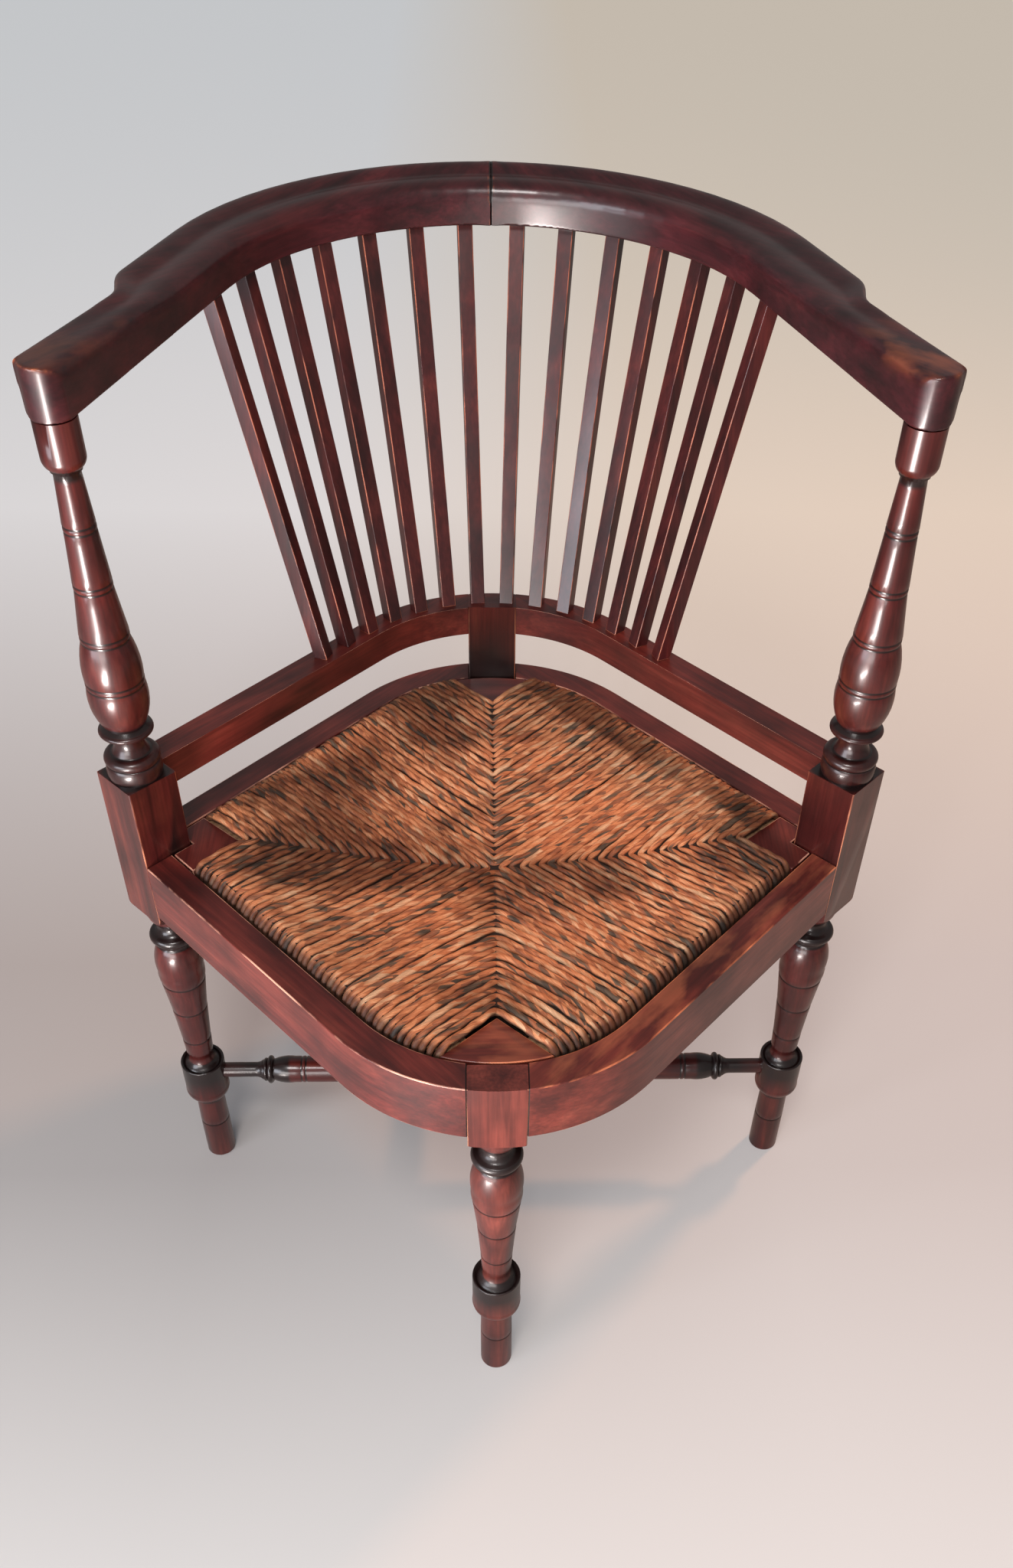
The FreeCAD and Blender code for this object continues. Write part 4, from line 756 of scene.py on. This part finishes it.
class ChairTurnings(bpy.types.Operator):
    """Finishes the turned legs, side posts and stretchers"""

    bl_idname = "chair.turnings"
    bl_label = "Legs, posts and stretchers"

    def execute(self, context):
        radius = context.scene.chair_wood.edge_radius
        # The front leg takes its paler copy of the wood: painted light.
        turnings = (("side_post_left", "turned", POST_BANDS), ("side_post_right", "turned", POST_BANDS),
                    ("front_leg", "front_leg", LEG_BANDS), ("rear_leg", "turned", LEG_BANDS))
        for number, (node, kind, bands) in enumerate(turnings):
            eased_copy(node, wood(kind), "frame", (0, 0, 1), 30 + number, radius, bands)
        stretchers = (("side_stretcher", (1, 0, 0)), ("front_rear_stretcher", (0, 1, 0)))
        for number, (node, way) in enumerate(stretchers):
            eased_copy(node, wood("turned"), "frame", way, 40 + number, 0.3 * MM,
                       STRETCHER_BANDS[number])
        return {"FINISHED"}


class ChairSpindles(bpy.types.Operator):
    """Finishes the square spindles of the back"""

    bl_idname = "chair.spindles"
    bl_label = "Spindles"

    def execute(self, context):
        radius = context.scene.chair_wood.spindle_edge
        for side_name in SIDES:
            for number in range(1, SPINDLES_PER_SIDE + 1):
                eased_copy(f"spindle_{side_name}_{number}", wood("spindle"), "frame",
                           (0, 0, 1), 50 + number + 10 * SIDES[side_name], radius)
        return {"FINISHED"}


class ChairCrest(bpy.types.Operator):
    """Finishes the two halves of the crest rail and their dowels"""

    bl_idname = "chair.crest"
    bl_label = "Crest rail"

    def execute(self, context):
        for number, (side_name, side) in enumerate(SIDES.items()):
            softened_copy(f"crest_rail_{side_name}", wood("crest"), "frame",
                          (0.6 * side, -0.8, 0), 80 + number, CREST_CELL, CREST_ROUNDS, CREST_BANDS)
        eased_copy("crest_dowels", wood("sawn"), "frame", (1, 0, 0), 85, 0.2 * MM)
        return {"FINISHED"}


class ChairSeatFrame(bpy.types.Operator):
    """Finishes the drop-in seat's corner blocks and rails, and the glued blocks that carry it"""

    bl_idname = "chair.seat_frame"
    bl_label = "Seat frame"

    def execute(self, context):
        radius = context.scene.chair_wood.edge_radius
        ways = {"left": (0, 1, 0), "right": (0, 1, 0), "front": (1, 0, 0), "rear": (1, 0, 0)}
        for number, (corner, way) in enumerate(ways.items()):
            # The front corner block takes the paler copy of the rail wood too, paler on its top: painted
            # light from the front.
            lit_copy = corner == "front"
            eased_copy(f"seat_corner_{corner}", wood("lit_copy" if lit_copy else "rail"),
                       "seat", way, 90 + number, radius, top=0.2 if lit_copy else 0.0)
        for number, (side_name, side) in enumerate(SIDES.items()):
            for end_name, end in ENDS.items():
                eased_copy(f"seat_frame_{end_name}_{side_name}", wood("sawn"), "seat",
                           rail_way(side, end), 100 + number * 2 + end, radius)
            eased_copy(f"corner_bracket_{side_name}", wood("sawn"), "frame", (0, 1, 0),
                       110 + number, radius)
        return {"FINISHED"}


class ChairRush(bpy.types.Operator):
    """Weaves the rush seat, corner by corner"""

    bl_idname = "chair.rush"
    bl_label = "Rush seat"

    def execute(self, context):
        material = twisted_rush()
        for number, (corner, (block, strands, bows)) in enumerate(CORNERS.items()):
            woven_corner(f"rush_{corner}", block, strands, bows, material,
                         context.scene.chair_rush.seed + number)
        shaded, shader = blank_material("shaded_rush", Roughness=0.9)
        # Near-black painted shade, seen between the strands.
        shader.inputs["Base Color"].default_value = paint("2A1C14")
        stuffing(shaded)
        return {"FINISHED"}


class ChairStage(bpy.types.Operator):
    """Sets up the floor, the lights and the camera"""

    bl_idname = "chair.stage"
    bl_label = "Stage"

    def execute(self, context):
        scene = context.scene
        settings = scene.chair_stage
        material, shader = blank_material("matt_floor", Roughness=0.9)
        shader.inputs["Base Color"].default_value = settings.floor_colour
        shader.inputs["Specular IOR Level"].default_value = 0.1
        # The camera alone sees the floor paler than it is lit, least under the window on the left and
        # most in front and far back, so that this lights nothing.
        seen = add(material, "ShaderNodeLightPath").outputs["Is Camera Ray"]
        place = add(material, "ShaderNodeTexCoord").outputs["Object"]
        x, y, _ = add(material, "ShaderNodeSeparateXYZ", {"Vector": place}).outputs
        rightward = spread(material, x, -0.3, 0.3)
        paler = blended(material, rightward, paint("242A32"), paint("7C7A7C"))
        paler = blended(material, spread(material, y, -0.7, -0.1), paint("A8A8A8"), paler)
        far = blended(material, rightward, paint("AEB2B6"), paint("AEA496"))
        paler = blended(material, spread(material, y, 0.2, 1.3), paler, far)
        material.node_tree.links.new(paler, shader.inputs["Emission Color"])
        material.node_tree.links.new(seen, shader.inputs["Emission Strength"])
        corners = np.array([[-6, -6, 0], [6, -6, 0], [6, 6, 0], [-6, 6, 0]], float)
        floor = bpy.data.objects.new("floor", mesh_from("floor", corners, np.array([[0, 1, 2, 3]])))
        floor.data.materials.append(material)
        scene.collection.objects.link(floor)

        world = bpy.data.worlds.new("studio")
        scene.world = world
        world.use_nodes = True
        background = world.node_tree.nodes["Background"]
        background.inputs["Color"].default_value = paint("E4E2E0")
        sky = add(world, "ShaderNodeLightPath").outputs["Is Camera Ray"]
        world.node_tree.links.new(spread(world, sky, 0.0, 1.0, 0.32, 0.66), background.inputs["Strength"])

        def lamp(name, place, target, size, power, colour):
            """Rectangular lamp that points at a target."""
            light = bpy.data.lights.new(name, "AREA")
            light.shape, light.size, light.size_y = "RECTANGLE", size[0], size[1]
            light.energy, light.color = power, paint(colour)[:3]
            holder = bpy.data.objects.new(name, light)
            scene.collection.objects.link(holder)
            holder.location = place
            holder.rotation_mode = "QUATERNION"
            holder.rotation_quaternion = (Vector(target) - Vector(place)).to_track_quat("-Z", "Y")

        power = settings.window_power
        lamp("window", (-1.9, -1.7, 0.9), (0, 0, 0.5), (1.2, 1.2), power * 0.58, "F2F5FF")
        lamp("ceiling", (-0.3, -1.5, 2.5), (0, 0, 0.5), (0.6, 0.6), power * 0.54, "FFFAF8")
        lamp("front", (-0.9, -2.5, 0.7), (0, 0, 0.4), (1.4, 0.8), power * 0.5, "FFF8F6")
        lamp("lamp", (1.25, 0.85, 1.8), (0.2, -0.05, 0.3), (0.2, 0.2), power * 0.3, "FFB98A")
        # Lies on the floor in front and draws the upright streaks on the turned posts.
        lamp("low_reflector", (-0.66, -1.45, 0.02), (-0.66, -1.45, 1.0), (0.34, 0.95), power * 1.4, "FFF4F0")
        bpy.data.objects["low_reflector"].visible_camera = False
        bpy.data.objects["lamp"].visible_glossy = False

        pitch, yaw, roll = (math.radians(angle) for angle in (46.1, 2.8, 1.7))
        ahead = Vector((math.sin(yaw) * math.cos(pitch), math.cos(yaw) * math.cos(pitch), -math.sin(pitch)))
        level = Vector((math.cos(yaw), -math.sin(yaw), 0))
        above = level.cross(ahead)
        right = level * math.cos(roll) + above * math.sin(roll)
        upward = above * math.cos(roll) - level * math.sin(roll)
        lens = bpy.data.cameras.new("camera")
        lens.lens, lens.sensor_width = 32.05, 36.0
        lens.shift_x, lens.shift_y = -0.0161, 0.120
        camera = bpy.data.objects.new("camera", lens)
        turn = Matrix((right, upward, -ahead)).transposed()
        camera.matrix_world = Matrix.Translation((-0.0090, -0.9650, 1.1960)) @ turn.to_4x4()
        scene.collection.objects.link(camera)
        scene.camera = camera
        scene.view_settings.view_transform = "Standard"
        return {"FINISHED"}


OPERATORS = (ChairRails, ChairTurnings, ChairSpindles, ChairCrest, ChairSeatFrame, ChairRush, ChairStage)
SETTINGS = {
    "chair_wood": ChairWoodSettings, "chair_rush": ChairRushSettings, "chair_stage": ChairStageSettings,
}


class ChairPanel(bpy.types.Panel):
    """Lists the chair's pieces and settings"""

    bl_idname = "VIEW3D_PT_corner_chair"
    bl_label = "Corner chair"
    bl_space_type = "VIEW_3D"
    bl_region_type = "UI"
    bl_category = "Corner chair"

    def draw(self, context):
        for name, kind in SETTINGS.items():
            for setting in kind.__annotations__:
                self.layout.prop(getattr(context.scene, name), setting)
        for operator in OPERATORS:
            self.layout.operator(operator.bl_idname)


def register():
    for item in (*SETTINGS.values(), *OPERATORS, ChairPanel):
        bpy.utils.register_class(item)
    for name, kind in SETTINGS.items():
        setattr(bpy.types.Scene, name, PointerProperty(type=kind))


def unregister():
    for name in SETTINGS:
        delattr(bpy.types.Scene, name)
    for item in reversed((*SETTINGS.values(), *OPERATORS, ChairPanel)):
        bpy.utils.unregister_class(item)


def main():
    register()
    for operator in OPERATORS:
        group, name = operator.bl_idname.split(".")
        getattr(getattr(bpy.ops, group), name)()


if __name__ == "__main__":
    main()
